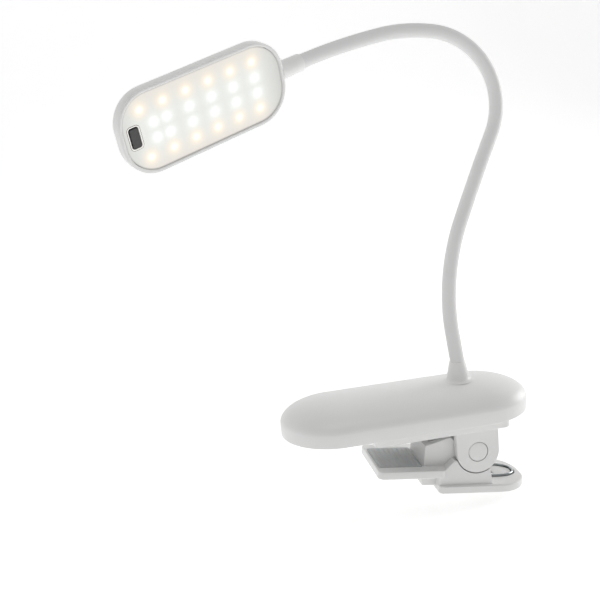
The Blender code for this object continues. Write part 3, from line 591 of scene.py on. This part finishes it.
def makeScrews():
    # pan heads with a cross recess, one model set at every screw
    names = [f"floor_screw_{i}" for i in range(1, 5)] + [f"bracket_screw_{i}" for i in range(1, 5)]
    for kind, members in (("floorScrews", names[:4]), ("bracketScrews", names[4:])):
        low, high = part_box(members[0])
        length = high.z - low.z
        head = (high.x - low.x) / 2
        thick = screw["headThick"]
        shank = head * screw["shank"]
        pitch = screw["pitch"]
        profile = [(0.05 * mm, 0)] + [(head * sin(a), thick * 0.75 * (1 - cos(a))) for a in
                                      (radians(d) for d in range(20, 91, 10))]
        profile += [(head, thick), (shank, thick)]
        for i in range(int((length - thick - screw["tip"]) / pitch)):
            level = thick + pitch * i
            profile += [(shank, level + 0.1 * mm), (shank * screw["crest"], level + pitch / 2),
                        (shank, level + 0.6 * mm)]
        profile += [(shank * 0.6, length), (0.05 * mm, length)]
        model = keep(kind + "Model", lathe(profile, 24), steel)
        tools = []
        share, wide, deep = screw["recess"]
        for turn in (0, pi / 2):
            bar = layers(roundedOutline(head * share, wide, 0.3 * mm, steps=3), [(0, -mm), (0.12 * mm, deep)])
            tools.append((keep("recess", bar, None, Matrix.Rotation(turn, 4, "Z")), "DIFFERENCE"))
        model = carve(model, tools)
        spots = []
        for name in members:
            near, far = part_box(name)
            spots.append(((near.x + far.x) / 2, (near.y + far.y) / 2, near.z))
        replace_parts(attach(repeat(kind, model, spots, steel), "base"), *members)


makeCover()
makeCollar()
makeInlet()
makeScrews()
paint(["base_floor"], whiteBase)
paint(["charge_board"], greenBoard)
paint(["battery_cell"], cellSkin)
paint(["cell_lead", "neck_lead", "head_lead"], leadPair)
paint(["neck_nut", "head_nut", "pivot_pin"], steel)
print("base made")


# clip: bracket, caps and pads
clip = {
    "plate": (87.5 * mm, 48 * mm, 4 * mm),     # length, width, corner
    "plateLeft": -26 * mm,                     # from the middle of the base
    "plateTop": -0.3 * mm,
    "plateBottom": -7.7 * mm,
    "earOuter": 21 * mm,
    "earThick": 5.5 * mm,
    "earRadius": 13.8 * mm,
    "edge": 0.6 * mm,
    "capGap": 0.32 * mm,
    "pinRadius": 2.5 * mm,
    "boreSlack": 0.3 * mm,
    "sink": (2.9 * mm, 1.55 * mm, 2.4 * mm),   # screw sink's radius, its hole's radius, its depth
    "padSize": (28 * mm, 32 * mm),
    "padProud": 0.8 * mm,
    "padThick": 1.5 * mm,
    "padSlack": 0.3 * mm,
    "ribs": 9,
}
pivot = Vector(joints["jaw_hinge"]["pos_m"])
pivotX = pivot.x - basePlace.translation.x
pivotZ = pivot.z - basePlace.translation.z


def drill(name, radius, start, end, centre=(0, 0), place=Matrix.Identity(4), steps=72):
    # a round tool along Y
    bm = lathe([(radius, -end), (radius, -start)], steps)
    return keep(name, bm, None, upright(place @ Matrix.Translation((centre[0], 0, centre[1]))))


def makeBracket():
    length, width, corner = clip["plate"]
    plate = roundedOutline(length, width, corner, clip["plateLeft"] + length / 2)
    slab = softSlab(plate, clip["plateBottom"], clip["plateTop"], 0.8 * mm, 0.3 * mm)
    bracket = keep("clipBracket", slab, whiteClip, basePlace)
    radius, outer, thick = clip["earRadius"], clip["earOuter"], clip["earThick"]
    top = clip["plateBottom"] + 2 * mm
    ear = [Vector((pivotX + radius, top, 0)), Vector((pivotX - radius, top, 0))]
    ear += [Vector((pivotX + radius * cos(a), pivotZ + radius * sin(a), 0))
            for a in (pi + pi * i / 48 for i in range(49))]
    tools = []
    capHole = (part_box("pin_cap_front")[1].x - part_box("pin_cap_front")[0].x) / 2 + clip["capGap"]
    for side in (-1, 1):
        low, high = sorted((-side * outer, -side * (outer - thick)))
        tools.append((keep("ear", softSlab(ear, low, high, clip["edge"]), None, upright(basePlace)), "UNION"))
    reach = 2.3 * mm
    for side in (-1, 1):
        start, end = sorted((side * (outer - reach), side * (outer + mm)))
        tools.append((drill("capHole", capHole, start, end, (pivotX, pivotZ), basePlace), "DIFFERENCE"))
    wide = outer + mm
    bore = clip["pinRadius"] + clip["boreSlack"]
    tools.append((drill("pinHole", bore, -wide, wide, (pivotX, pivotZ), basePlace, 32), "DIFFERENCE"))
    for i in range(1, 5):
        low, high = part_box(f"bracket_screw_{i}")
        spot = Matrix.Translation(((low.x + high.x) / 2, (low.y + high.y) / 2, coverLow.z))
        wide, narrow, seat = clip["sink"]
        seat += clip["plateBottom"]
        sink = [(wide, -12 * mm), (wide, seat), (narrow, seat), (narrow, 2 * mm)]
        tools.append((keep("screwSink", lathe(sink, 32), None, spot), "DIFFERENCE"))
    low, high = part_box("upper_pad")
    slack = 2 * clip["padSlack"]
    pocket = roundedOutline(high.x - low.x + slack, high.y - low.y + slack, 1.5 * mm, (low.x + high.x) / 2)
    tools.append((keep("padPocket", layers(pocket, [(0, -5 * mm), (0, high.z + 0.25 * mm)]), None), "DIFFERENCE"))
    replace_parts(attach(carve(bracket, tools), "base"), "clip_bracket")


def makeCaps():
    for name, side in (("pin_cap_front", -1), ("pin_cap_back", 1)):
        low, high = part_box(name)
        radius = (high.x - low.x) / 2
        thick = high.y - low.y
        profile = [(0.1 * mm, 0), (radius, 0), (radius, thick - 0.45 * mm), (radius - 0.15 * mm, thick - 0.18 * mm),
                   (radius - 0.5 * mm, thick - 0.06 * mm), (radius * 0.6, thick + 0.06 * mm),
                   (0.1 * mm, thick + 0.1 * mm)]
        start = low.y if side > 0 else high.y
        place = Matrix.Translation(((low.x + high.x) / 2, start, (low.z + high.z) / 2)) \
            @ Matrix.Rotation(-side * pi / 2, 4, "X")
        cap = keep("pinCap" + ("Back" if side > 0 else "Front"), lathe(profile, 72), whiteClip, place, 40)
        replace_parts(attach(cap, "base"), name)


def makePad(name, node, body, place):
    # soft grip pad: a rounded sheet with raised ribs across it
    length, width = clip["padSize"]
    thick = clip["padThick"]
    slab = softSlab(roundedOutline(length, width, 1.4 * mm), -thick, -0.35 * mm, 0.25 * mm)
    sheet = keep(name, slab, padRubber, place)
    rib = roundedOutline(1.5 * mm, width - 3 * mm, 0.7 * mm, steps=6)
    model = keep("ribModel", softSlab(rib, -0.8 * mm, 0, 0.3 * mm), padRubber)
    pitch = (length - 3.4 * mm) / (clip["ribs"] - 1)
    spots = [((i - (clip["ribs"] - 1) / 2) * pitch, 0, 0) for i in range(clip["ribs"])]
    ribs = repeat(name + "Ribs", model, spots, padRubber, place)
    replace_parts(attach(sheet, body), node)
    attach(ribs, body)


makeBracket()
makeCaps()
low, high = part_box("upper_pad")
padPlace = Matrix.Translation(((low.x + high.x) / 2, 0, low.z)) @ Matrix.Rotation(pi, 4, "X")
makePad("upperPad", "upper_pad", "base", padPlace)
print("bracket made")


# lower jaw, handle and spring, level about the pin and then tilted
jaw = {
    "tilt": radians(8),
    "handleLeft": -23.9 * mm,
    "handleReach": 37.2 * mm,
    "handleHalf": 23.5 * mm,
    "handleCorner": 20 * mm,
    "handleThick": 5.1 * mm,
    "handleDrop": 21.4 * mm,
    "armReach": 64 * mm,
    "armThick": 5.2 * mm,
    "armDrop": 10.7 * mm,
    "throat": 32.9 * mm,
    "throatWall": 3.9 * mm,
    "channelHalf": 10.9 * mm,
    "hub": 9 * mm,
    # outlines in millimetres about the pin, level with the handle
    "blockLine": ((11.5, -21.4), (9.0, -10.9), (-15.0, -5.6), (-23.9, -15.0)),
    "cheekLine": ((-13.4, 5.0), (-17, 7.6), (-32.9, 2.2)),
    "channelLine": ((-7, -11), (1, -21.4), (18, -21.4), (18, 20)),
    "armOverlap": 13 * mm,
    "clear": 0.6 * mm,
    "wire": 0.8 * mm,
    "coilRadius": 5.6 * mm,
    "coilTurns": 3,
    "bailHalf": 9.3 * mm,
    "bailReach": 32.5 * mm,
    "groove": 1.45 * mm,
}
jawPlace = Matrix.Translation(pivot) @ Matrix.Rotation(jaw["tilt"], 4, "Y")
bailLevel = -jaw["handleDrop"] + 0.4 * mm


def bailPath():
    # from the front coil down into the groove, round its tip and back
    half, reach = jaw["bailHalf"], jaw["bailReach"]
    bend = Vector((0.36 * reach, -half, bailLevel + 3.2 * mm))
    flat = Vector((0.50 * reach, -half, bailLevel))
    start = Vector((jaw["coilRadius"], -half, -1.5 * mm))
    points = [start, start.lerp(bend, 0.5), start.lerp(bend, 0.85)]
    points += [bend.lerp(flat, share) - Vector((0, 0, sag * mm))
               for share, sag in ((0.12, 0.25), (0.35, 0.4), (0.65, 0.4))]
    points.append(flat)
    straight = 0.62 * reach
    for step in range(17):
        angle = pi / 2 * step / 16
        points.append(Vector((straight + (reach - straight) * sin(angle), -half * cos(angle), bailLevel)))
    return points + [Vector((p.x, -p.y, p.z)) for p in reversed(points[:-1])]


def flatPoints(*pairs):
    return [Vector((x * mm, y * mm, 0)) for x, y in pairs]


def makeJaw():
    low = -jaw["handleDrop"] - jaw["handleThick"]
    deep = (low - jaw["handleDrop"]) / 2 / mm
    outline = cornerOutline(jaw["handleLeft"], jaw["handleReach"], jaw["handleHalf"],
                            (jaw["handleCorner"], 3 * mm, 3 * mm, jaw["handleCorner"]), 20)
    chamfer = 1.1 * mm
    profile = quarter(0.7 * mm, low + 0.7 * mm, 0.7 * mm, 270, 180, 4)
    profile += [(0, -jaw["handleDrop"] - chamfer * 0.62), (chamfer * 0.2, -jaw["handleDrop"] - chamfer * 0.42),
                (chamfer * 0.85, -jaw["handleDrop"] - 0.06 * mm), (chamfer * 1.2, -jaw["handleDrop"])]
    lever = keep("jawLever", layers(outline, profile), whiteClip, jawPlace)
    block = flatPoints((-23.9, deep), (11.5, deep), *jaw["blockLine"])
    slab = softSlab(block, -clip["earOuter"], clip["earOuter"], 0.6 * mm)
    tools = [(keep("jawBlock", slab, None, upright(jawPlace)), "UNION")]
    hub = [Vector((jaw["hub"] * cos(a), jaw["hub"] * sin(a), 0))
           for a in (radians(-40 + 200 * i / 28) for i in range(29))]
    cheek = flatPoints((10, deep), (10, -8)) + hub + flatPoints(*jaw["cheekLine"], (-32.9, deep))
    half = clip["earOuter"] - clip["earThick"] - jaw["clear"]
    tools.append((keep("jawCheeks", softSlab(cheek, -half, half, 0.4 * mm), None, upright(jawPlace)), "UNION"))
    length = jaw["armReach"] - jaw["throat"] + jaw["armOverlap"]
    arm = roundedOutline(length, clip["plate"][1], clip["plate"][2], -jaw["armReach"] + length / 2)
    slab = softSlab(arm, -jaw["armDrop"] - jaw["armThick"], -jaw["armDrop"], 1.0 * mm, 0.5 * mm)
    tools.append((keep("jawArm", slab, None, jawPlace), "UNION"))
    reach = clip["earOuter"] + 4 * mm
    clearance = clip["earRadius"] + jaw["clear"]
    for side in (-1, 1):
        start, end = sorted((side * half, side * reach))
        tools.append((drill("earClearance", clearance, start, end, (0, 0), jawPlace, 120), "DIFFERENCE"))
    inner = (-jaw["throat"] + jaw["throatWall"]) / mm
    channel = flatPoints((inner, -10.2), *jaw["channelLine"], (inner, 20))
    room = layers(channel, [(0, -jaw["channelHalf"]), (0, jaw["channelHalf"])])
    tools.append((keep("springChannel", room, None, upright(jawPlace)), "DIFFERENCE"))
    bore = clip["pinRadius"] + clip["boreSlack"]
    tools.append((drill("pinBore", bore, -reach, reach, (0, 0), jawPlace, 32), "DIFFERENCE"))
    path = bailPath()
    tools.append((tube("bailGroove", path[4:-4], jaw["groove"], None, 20, jawPlace), "DIFFERENCE"))
    padLength, padWidth = clip["padSize"]
    padX = -jaw["armReach"] + 2 * mm + padLength / 2
    slack = 2 * clip["padSlack"]
    pocket = roundedOutline(padLength + slack, padWidth + slack, 1.5 * mm, padX)
    floor = -jaw["armDrop"] - clip["padThick"] + clip["padProud"] - 0.25 * mm
    tools.append((keep("lowerPocket", layers(pocket, [(0, floor), (0, 0)]), None, jawPlace), "DIFFERENCE"))
    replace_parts(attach(carve(lever, tools), "jaw"), "jaw_lever")
    makePad("lowerPad", "lower_pad", "jaw",
            jawPlace @ Matrix.Translation((padX, 0, -jaw["armDrop"] + clip["padProud"])))
    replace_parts(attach(tube("springBail", path, jaw["wire"], wireSteel, 16, jawPlace), "jaw"), "spring_bail")


def makeCoils():
    radius, wire = jaw["coilRadius"], jaw["wire"]
    first, last = radians(-30), radians(37) + 2 * pi * jaw["coilTurns"]
    steps = 26 * jaw["coilTurns"]
    pitch = 2 * wire + 0.1 * mm
    outer = jaw["channelHalf"] - 2.7 * mm - wire
    under = clip["plateBottom"] - pivotZ - wire - base["gap"]
    for name, side in (("spring_coil_front", -1), ("spring_coil_back", 1)):
        points = []
        for step in range(steps + 1):
            angle = first + (last - first) * step / steps
            inward = pitch * (angle - first) / (2 * pi)
            points.append(Vector((radius * cos(angle), side * (outer - inward), radius * sin(angle))))
        end = points[-1]
        rise = under - end.z
        points += [Vector((end.x - 0.65 * rise, end.y, end.z + 0.88 * rise)),
                   Vector((end.x - 0.85 * rise, end.y, under)),
                   Vector((end.x - 0.75 * rise - 14 * mm, end.y, under))]
        label = "coilFront" if side < 0 else "coilBack"
        coil = tube(label, points, wire, wireSteel, 14, Matrix.Translation(pivot))
        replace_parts(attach(coil, "base"), name)


makeJaw()
makeCoils()
print("jaw and spring made")


# gooseneck: one sleeve, cut midway between the hinges
neck = {
    "length": 328 * mm,
    "radius": 4.5 * mm,
    "pieces": 9,
    "spacing": 1.5 * mm,
    # share of the length, lean in the XZ plane, lean to the back, in degrees
    "bends": ((0.000, -7, 0), (0.055, -4.5, 7), (0.274, 29, 16.5), (0.457, 31.5, 16.5), (0.720, -78.5, 4),
              (0.829, -98.5, -4), (1.000, -106.0, -20)),
    "blend": 16 * mm,           # half the stretch that turns round each hinge
}


def neckDirection(share):
    for (s0, lean0, back0), (s1, lean1, back1) in zip(neck["bends"], neck["bends"][1:]):
        if share <= s1:
            part = (share - s0) / (s1 - s0)
            lean = radians(lean0 + (lean1 - lean0) * part)
            back = radians(back0 + (back1 - back0) * part)
            return Vector((sin(lean) * cos(back), sin(back), cos(lean) * cos(back)))
    return neckDirection(1.0)


collarLow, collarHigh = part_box("base_collar")
neckStart = Vector(((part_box("neck_nut")[0].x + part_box("neck_nut")[1].x) / 2, 0, collarHigh.z + base["gap"]))
fine = 0.25 * mm
neckLine = [neckStart.copy()]
while len(neckLine) * fine < neck["length"] + fine:
    share = min(1.0, (len(neckLine) - 0.5) * fine / neck["length"])
    neckLine.append(neckLine[-1] + neckDirection(share) * fine)


def neckPoint(distance):
    return neckLine[min(len(neckLine) - 1, round(distance / fine))]


def makeSleeve():
    step = neck["length"] / neck["pieces"]
    cuts = [0.0] + [(i + 0.5) * step for i in range(neck["pieces"])] + [neck["length"]]
    bodies = ["base"] + [f"neck_{i}" for i in range(2, neck["pieces"])] + ["head"]
    for i, (start, end) in enumerate(zip(cuts, cuts[1:])):
        count = max(2, round((end - start) / neck["spacing"]))
        points = [neckPoint(start + (end - start) * j / count) for j in range(count + 1)]
        if i == 0:
            points.insert(0, neckStart - Vector((0, 0, 1.2 * mm)))
        sleeve = tube(f"neckSleeve{i + 1}", points, neck["radius"], sleeveSkin, 32, sharp=60)
        if i == 0:
            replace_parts(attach(sleeve, "base"), "neck_sleeve_1")
        elif i == neck["pieces"]:
            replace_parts(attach(sleeve, "head"), "neck_sleeve_9")
        else:
            hinge = i * step
            bodies[i - 1]
            neckPoint(hinge - neck["blend"])
            neckPoint(hinge + neck["blend"])
            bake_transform(sleeve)
            if i > 1:
                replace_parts(sleeve, f"neck_sleeve_{i}")


makeSleeve()
paint([f"neck_spine_{i}" for i in range(1, neck["pieces"] + 1)], dullSteel)
print("gooseneck made")


# head: shell, collar, diffuser with its lights, and button
head = {
    "length": 111.6 * mm,
    "width": 51 * mm,
    "corner": 21 * mm,
    "depth": 11 * mm,
    "backEdge": 5.5 * mm,
    "wall": 2.2 * mm,
    "collar": 15.8 * mm,
    "collarRadius": 5.5 * mm,
    "diffuserSunk": 1.0 * mm,
    "diffuserThick": 1.2 * mm,
    "buttonX": -46.6 * mm,
    "button": (6.2 * mm, 12.4 * mm, 1.5 * mm),
    "buttonProud": 0.7 * mm,
    "buttonSlack": 0.3 * mm,
    "skirt": 0.5 * mm,          # the edge round the button's face, painted near black as the shade in the gap round it
    "surround": 0.55 * mm,
    "seal": 0.3 * mm,
    "ledPitch": 15.1 * mm,
    "ledMiddle": -2.2 * mm,
    "ledRows": (14.5 * mm, 4.8 * mm),
    "ledAside": 6.6 * mm,       # the two lights by the button stand back from it
}
neckLevel = -(head["depth"] + 0.4 * mm) / 2
along = -neckDirection(1.0)
facing = -Vector(joints["button_press"]["axis"])
across = facing.cross(along)
headMiddle = neckPoint(neck["length"]) - along * (head["collar"] + head["length"] / 2) - facing * neckLevel
headPlace = Matrix.Translation(headMiddle) @ Matrix((along, across, facing)).transposed().to_4x4()
headEnd = headPlace @ Matrix.Translation((head["length"] / 2, 0, neckLevel))
headEnd = headEnd @ Matrix.Rotation(pi / 2, 4, "Y")


glowTones = {
    "coolSheet": (0.60, 0.61, 0.58, 1),
    "warmSheet": (0.60, 0.55, 0.49, 1),
    "ends": (0.36, 0.365, 0.35, 1),
    "coolHalo": (0.80, 0.84, 0.81, 1),
    "warmHalo": (0.90, 0.74, 0.54, 1),
    "coolSpot": (1.0, 1.0, 1.0, 1),
    "warmSpot": (1.0, 0.95, 0.86, 1),
    # painted shade: the tone of the line along the sheet's edge, where the shell's lip shades it
    "rim": (0.25, 0.25, 0.245, 1),
}


def frostedGlow(name):
    # frosted sheet over lit lights: warm rows along the sides, cool rows between, dimmer towards the ends, and a
    # painted shade line along its edge where the shell's lip shades the recess
    glow = Finish(name, Roughness=0.42, Specular_IOR_Level=0.3, Emission_Strength=1.0)
    spot = glow.node("ShaderNodeMapping", {"vector_type": "TEXTURE"},
                     {"Vector": glow.at, "Location": headPlace.translation, "Rotation": headPlace.to_euler()})
    split = glow.tree.nodes.new("ShaderNodeSeparateXYZ")
    glow.feed(split.inputs[0], spot)
    x, y = Wire(glow, split.outputs[0]) - head["ledMiddle"], Wire(glow, split.outputs[1])
    pitch = head["ledPitch"]
    warmRow, coolRow = head["ledRows"]

    def halo(dx, dy, width):
        return glow.node("ShaderNodeMath", {"operation": "POWER"}, {0: 0.5, 1: (dx * dx + dy * dy) / width ** 2})

    def positive(value):
        return value.sum("MAXIMUM", value, 0.0)

    def limit(value):
        return value.sum("MINIMUM", value, 1.0)

    side = abs(y)
    column = x.sum("PINGPONG", x, pitch / 2)
    toLight = pitch / 2 - column                         # distance to the nearest column of lights
    byButton = x < -1.78 * pitch                         # left of midway between the second column and the two
    shifted = abs(x + (2.5 * pitch - head["ledAside"]))
    coolX = byButton * shifted + (1 - byButton) * toLight
    beyond = positive(abs(x) - 3 * pitch)
    warmX = toLight + beyond * 2
    coolX = coolX + beyond * 2
    warmY = side - warmRow
    coolY = side - coolRow
    warmSpot, warmWide = halo(warmX, warmY, 1.6 * mm), halo(warmX, warmY, 3.7 * mm)
    coolSpot, coolWide = halo(coolX, coolY, 1.7 * mm), halo(coolX, coolY, 3.7 * mm)
    speckle = glow.noise(1.1 * mm, 3.0)
    edge = (side - 12 * mm) / (14 * mm)
    warmth = edge.sum("SMOOTH_MIN", positive(edge), 1.0)
    ends = limit(positive(abs(x) - 40 * mm) / (16 * mm))
    field = glow.mix(warmth, glowTones["coolSheet"], glowTones["warmSheet"])
    field = glow.mix(ends * 0.75, field, glowTones["ends"])
    field = glow.mix(coolWide * 0.75, field, glowTones["coolHalo"])
    field = glow.mix(warmWide * 0.85, field, glowTones["warmHalo"])
    field = glow.mix(limit(warmSpot * 1.25), field, glowTones["warmSpot"])
    field = glow.mix(limit(coolSpot * 1.25), field, glowTones["coolSpot"])
    # painted shade: the glow darkened in a thin line along the sheet's edge, where the shell's lip shades the
    # recess
    inset = head["wall"] + 0.3 * mm
    alongX = positive(abs(x + head["ledMiddle"]) - (head["length"] / 2 - head["corner"]))
    alongY = positive(side - (head["width"] / 2 - head["corner"]))
    square = alongX * alongX + alongY * alongY
    reach = square.sum("SQRT", square)
    rimShadeLine = limit(positive((reach - (head["corner"] - inset - 0.9 * mm)) / (0.9 * mm)))
    field = glow.mix(rimShadeLine * 0.75, field, glowTones["rim"])
    glow.set(Base_Color=glow.mix(speckle, (0.24, 0.24, 0.235, 1), (0.27, 0.27, 0.265, 1)),
             Emission_Color=field)
    glow.bump(speckle, 0.05, 0.05 * mm)
    return glow.material


def makeShell():
    outline = roundedOutline(head["length"], head["width"], head["corner"], steps=20)
    depth, edge, wall = head["depth"], head["backEdge"], head["wall"]
    inner = [(20 * mm, wall - depth), (edge, wall - depth)] + quarter(edge, edge - depth, edge - wall, 270, 180, 6)
    lip = [(wall, -0.35 * mm), (wall - 0.1 * mm, -0.12 * mm), (wall - 0.35 * mm, 0), (0.9 * mm, 0),
           (0.75 * mm, -0.08 * mm), (0.62 * mm, -0.45 * mm), (0.4 * mm, -0.5 * mm), (0.1 * mm, -0.62 * mm),
           (0, -0.9 * mm)]
    back = quarter(edge, edge - depth, edge, 180, 270, 12)
    back += [(9 * mm, -depth - 0.12 * mm), (14 * mm, -depth - 0.22 * mm), (20 * mm, -depth - 0.28 * mm)]
    shell = keep("headShell", layers(outline, inner + lip + back), whiteShell, headPlace, 40)
    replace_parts(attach(shell, "head"), "head_shell")


def makeHeadCollar():
    length, radius = head["collar"], head["collarRadius"]
    bore = 3.1 * mm
    profile = [(1.1 * mm, -8 * mm), (2.0 * mm, -8 * mm), (2.0 * mm, -3.0 * mm), (4.0 * mm, -2.9 * mm),
               (4.5 * mm, -2.5 * mm), (radius - 0.5 * mm, -1.2 * mm), (radius + 0.45 * mm, -0.1 * mm),
               (radius + 0.35 * mm, 1.2 * mm), (radius + 0.15 * mm, 4 * mm), (radius, 9 * mm),
               (radius - 0.02 * mm, length - 0.8 * mm), (radius - 0.2 * mm, length - 0.25 * mm),
               (radius - 0.55 * mm, length), (bore, length), (bore, 4 * mm), (1.1 * mm, 3.7 * mm)]
    collar = keep("headCollar", lathe(profile, 64, True), whiteShell, headEnd, 40)
    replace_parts(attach(collar, "head"), "head_collar")


def makeDiffuser():
    inset = head["wall"] + 0.3 * mm
    outline = shrink(roundedOutline(head["length"], head["width"], head["corner"], steps=20), inset, 0)
    top = -head["diffuserSunk"]
    sheet = keep("diffuser", softSlab(outline, top - head["diffuserThick"], top, 0.15 * mm, 0.2 * mm),
                 frostedGlow("frostedGlow"), headPlace)
    length, width, corner = head["button"]
    slack = head["buttonSlack"]
    window = roundedOutline(length + 2 * slack, width + 2 * slack, corner + slack, head["buttonX"])
    tool = keep("buttonWindow", layers(window, [(0, -5 * mm), (0, 2 * mm)]), None, headPlace)
    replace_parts(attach(carve(sheet, [(tool, "DIFFERENCE")]), "head"), "diffuser")
    lit, seal = head["surround"], head["seal"]
    lip = [(0, top - 0.3 * mm), (0, top + 0.18 * mm), (-0.12 * mm, top + 0.28 * mm),
           (0.1 * mm - lit, top + 0.28 * mm), (-lit, top + 0.12 * mm), (-lit, top - 0.02 * mm)]
    surround = keep("buttonSurround", layers(window, lip, True), litPlastic("surroundPlastic"), headPlace)
    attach(surround, "head")
    strip = [(-lit, top - 0.02 * mm), (-lit, top + 0.1 * mm), (-lit - seal, top + 0.06 * mm),
             (-lit - seal, top - 0.02 * mm)]
    gasket = keep("buttonSeal", layers(window, strip, True), sealRubber, headPlace)
    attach(gasket, "head")


def makeButton():
    length, width, corner = head["button"]
    top = -head["diffuserSunk"] + head["buttonProud"]
    outline = roundedOutline(length, width, corner, head["buttonX"], 10)
    skirt = head["skirt"]
    profile = [(skirt, top - 0.6 * mm), (skirt, top - 0.22 * mm), (skirt + 0.06 * mm, top - 0.1 * mm),
               (skirt + 0.32 * mm, top), (skirt + 0.5 * mm, top - 0.03 * mm), (skirt + 0.9 * mm, top - 0.08 * mm)]
    cap = keep("buttonCap", layers(outline, profile), buttonSkin, headPlace, 40)
    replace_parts(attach(cap, "button"), "button_cap")
    # a ledge round the face, painted near black as the shade in the gap round the button
    edge = [(0, top - 1.9 * mm), (0, top - 0.62 * mm), (0.1 * mm, top - 0.5 * mm),
            (skirt + 0.3 * mm, top - 0.5 * mm)]
    rim = keep("buttonSkirt", layers(outline, edge), gapShadeSkirt, headPlace, 40)
    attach(rim, "button")


makeShell()
makeHeadCollar()
makeDiffuser()
makeButton()
paint(["light_frame"], whiteShell)
paint(["led_board"], whiteBoard)
paint(["tact_switch"], buttonSkin)
print("head made")


# floor, light and camera
studio = {
    "azimuth": -9.282,
    "elevation": 14.071,
    "roll": -5.421,
    "distance": 602.907 * mm,
    "target": Vector((-51.69, 0, 93.56)) * mm,
    "lens": 60,
    "world": 0.40,              # what the lamp sees
    "room": 0.88,               # what the camera sees beyond the paper
    "paperGlow": 0.42,
    "floorDrop": 2 * mm,
    # power, size, place, height of the spot it is aimed at
    "lights": {
        "key": (8.0, 0.8, (1.3, 0.4, 0.35), 0.1),
        "fill": (1.3, 1.0, (-1.4, 0.3, 0.3), 0.15),
        "front": (0.3, 1.0, (-0.2, -1.4, 0.5), 0.1),
        "top": (3.0, 0.8, (-0.1, -0.1, 1.4), 0.1),
    },
    "sweep": (1.0, 1.2, 5.0, 4.0),      # bend radius, its start behind the lamp, half-width, height
}


def makeBackdrop():
    # a pale floor that sweeps up behind the lamp
    lowest = cadBounds[0][2] - studio["floorDrop"]
    bend, behind, reach, tall = studio["sweep"]
    line = [(-reach, lowest)] + [(behind + bend * sin(a), lowest + bend * (1 - cos(a)))
                                 for a in (pi / 2 * i / 24 for i in range(25))] + [(behind + bend, tall)]
    verts = [(x, y, z) for y, z in line for x in (-reach, reach)]
    faces = [(2 * i, 2 * i + 1, 2 * i + 3, 2 * i + 2) for i in range(len(line) - 1)]
    mesh = bpy.data.meshes.new("backdrop")
    mesh.from_pydata(verts, [], faces)
    paper = Finish("backdropPaper", Roughness=0.9, Specular_IOR_Level=0.1, Emission_Color=(1, 1, 1, 1),
                   Emission_Strength=studio["paperGlow"])
    paper.set(Base_Color=paper.mix(paper.noise(0.5), (0.90, 0.90, 0.90, 1), (0.92, 0.92, 0.92, 1)))
    show("backdrop", mesh, paper.material, 80)


def makeLight(name, energy, size, place, aim):
    lamp = bpy.data.lights.new(name, "AREA")
    lamp.energy = energy
    lamp.shape = "DISK"
    lamp.size = size
    holder = bpy.data.objects.new(name, lamp)
    bpy.context.scene.collection.objects.link(holder)
    holder.location = place
    holder.rotation_euler = (Vector(aim) - Vector(place)).to_track_quat("-Z", "Y").to_euler()


def makeWorld():
    world = bpy.data.worlds.new("studio")
    bpy.context.scene.world = world
    world.use_nodes = True
    sky = Recipe(world.node_tree)
    ground = world.node_tree.nodes["Background"].inputs
    seen = sky.node("ShaderNodeLightPath", output="Is Camera Ray")
    sky.feed(ground["Color"], (1, 1, 1, 1))
    sky.feed(ground["Strength"], seen * (studio["room"] - studio["world"]) + studio["world"])


def makeCamera():
    azimuth, elevation, roll = (radians(studio[key]) for key in ("azimuth", "elevation", "roll"))
    back = Vector((sin(azimuth) * cos(elevation), -cos(azimuth) * cos(elevation), sin(elevation)))
    right = (-back).cross(Vector((0, 0, 1))).normalized()
    rise = right.cross(-back)
    turned = right * cos(roll) + rise * sin(roll)
    risen = rise * cos(roll) - right * sin(roll)
    lens = bpy.data.cameras.new("camera")
    lens.lens = studio["lens"]
    lens.sensor_width = 36
    lens.clip_start = 0.01
    camera = bpy.data.objects.new("camera", lens)
    bpy.context.scene.collection.objects.link(camera)
    place = Matrix((turned, risen, back)).transposed().to_4x4()
    camera.matrix_world = Matrix.Translation(studio["target"] + back * studio["distance"]) @ place
    bpy.context.scene.camera = camera


makeBackdrop()
for name, (energy, size, place, level) in studio["lights"].items():
    makeLight(name, energy, size, place, (0, 0, level))
makeWorld()
bpy.context.scene.view_settings.view_transform = "Standard"
makeCamera()

print("scene made")
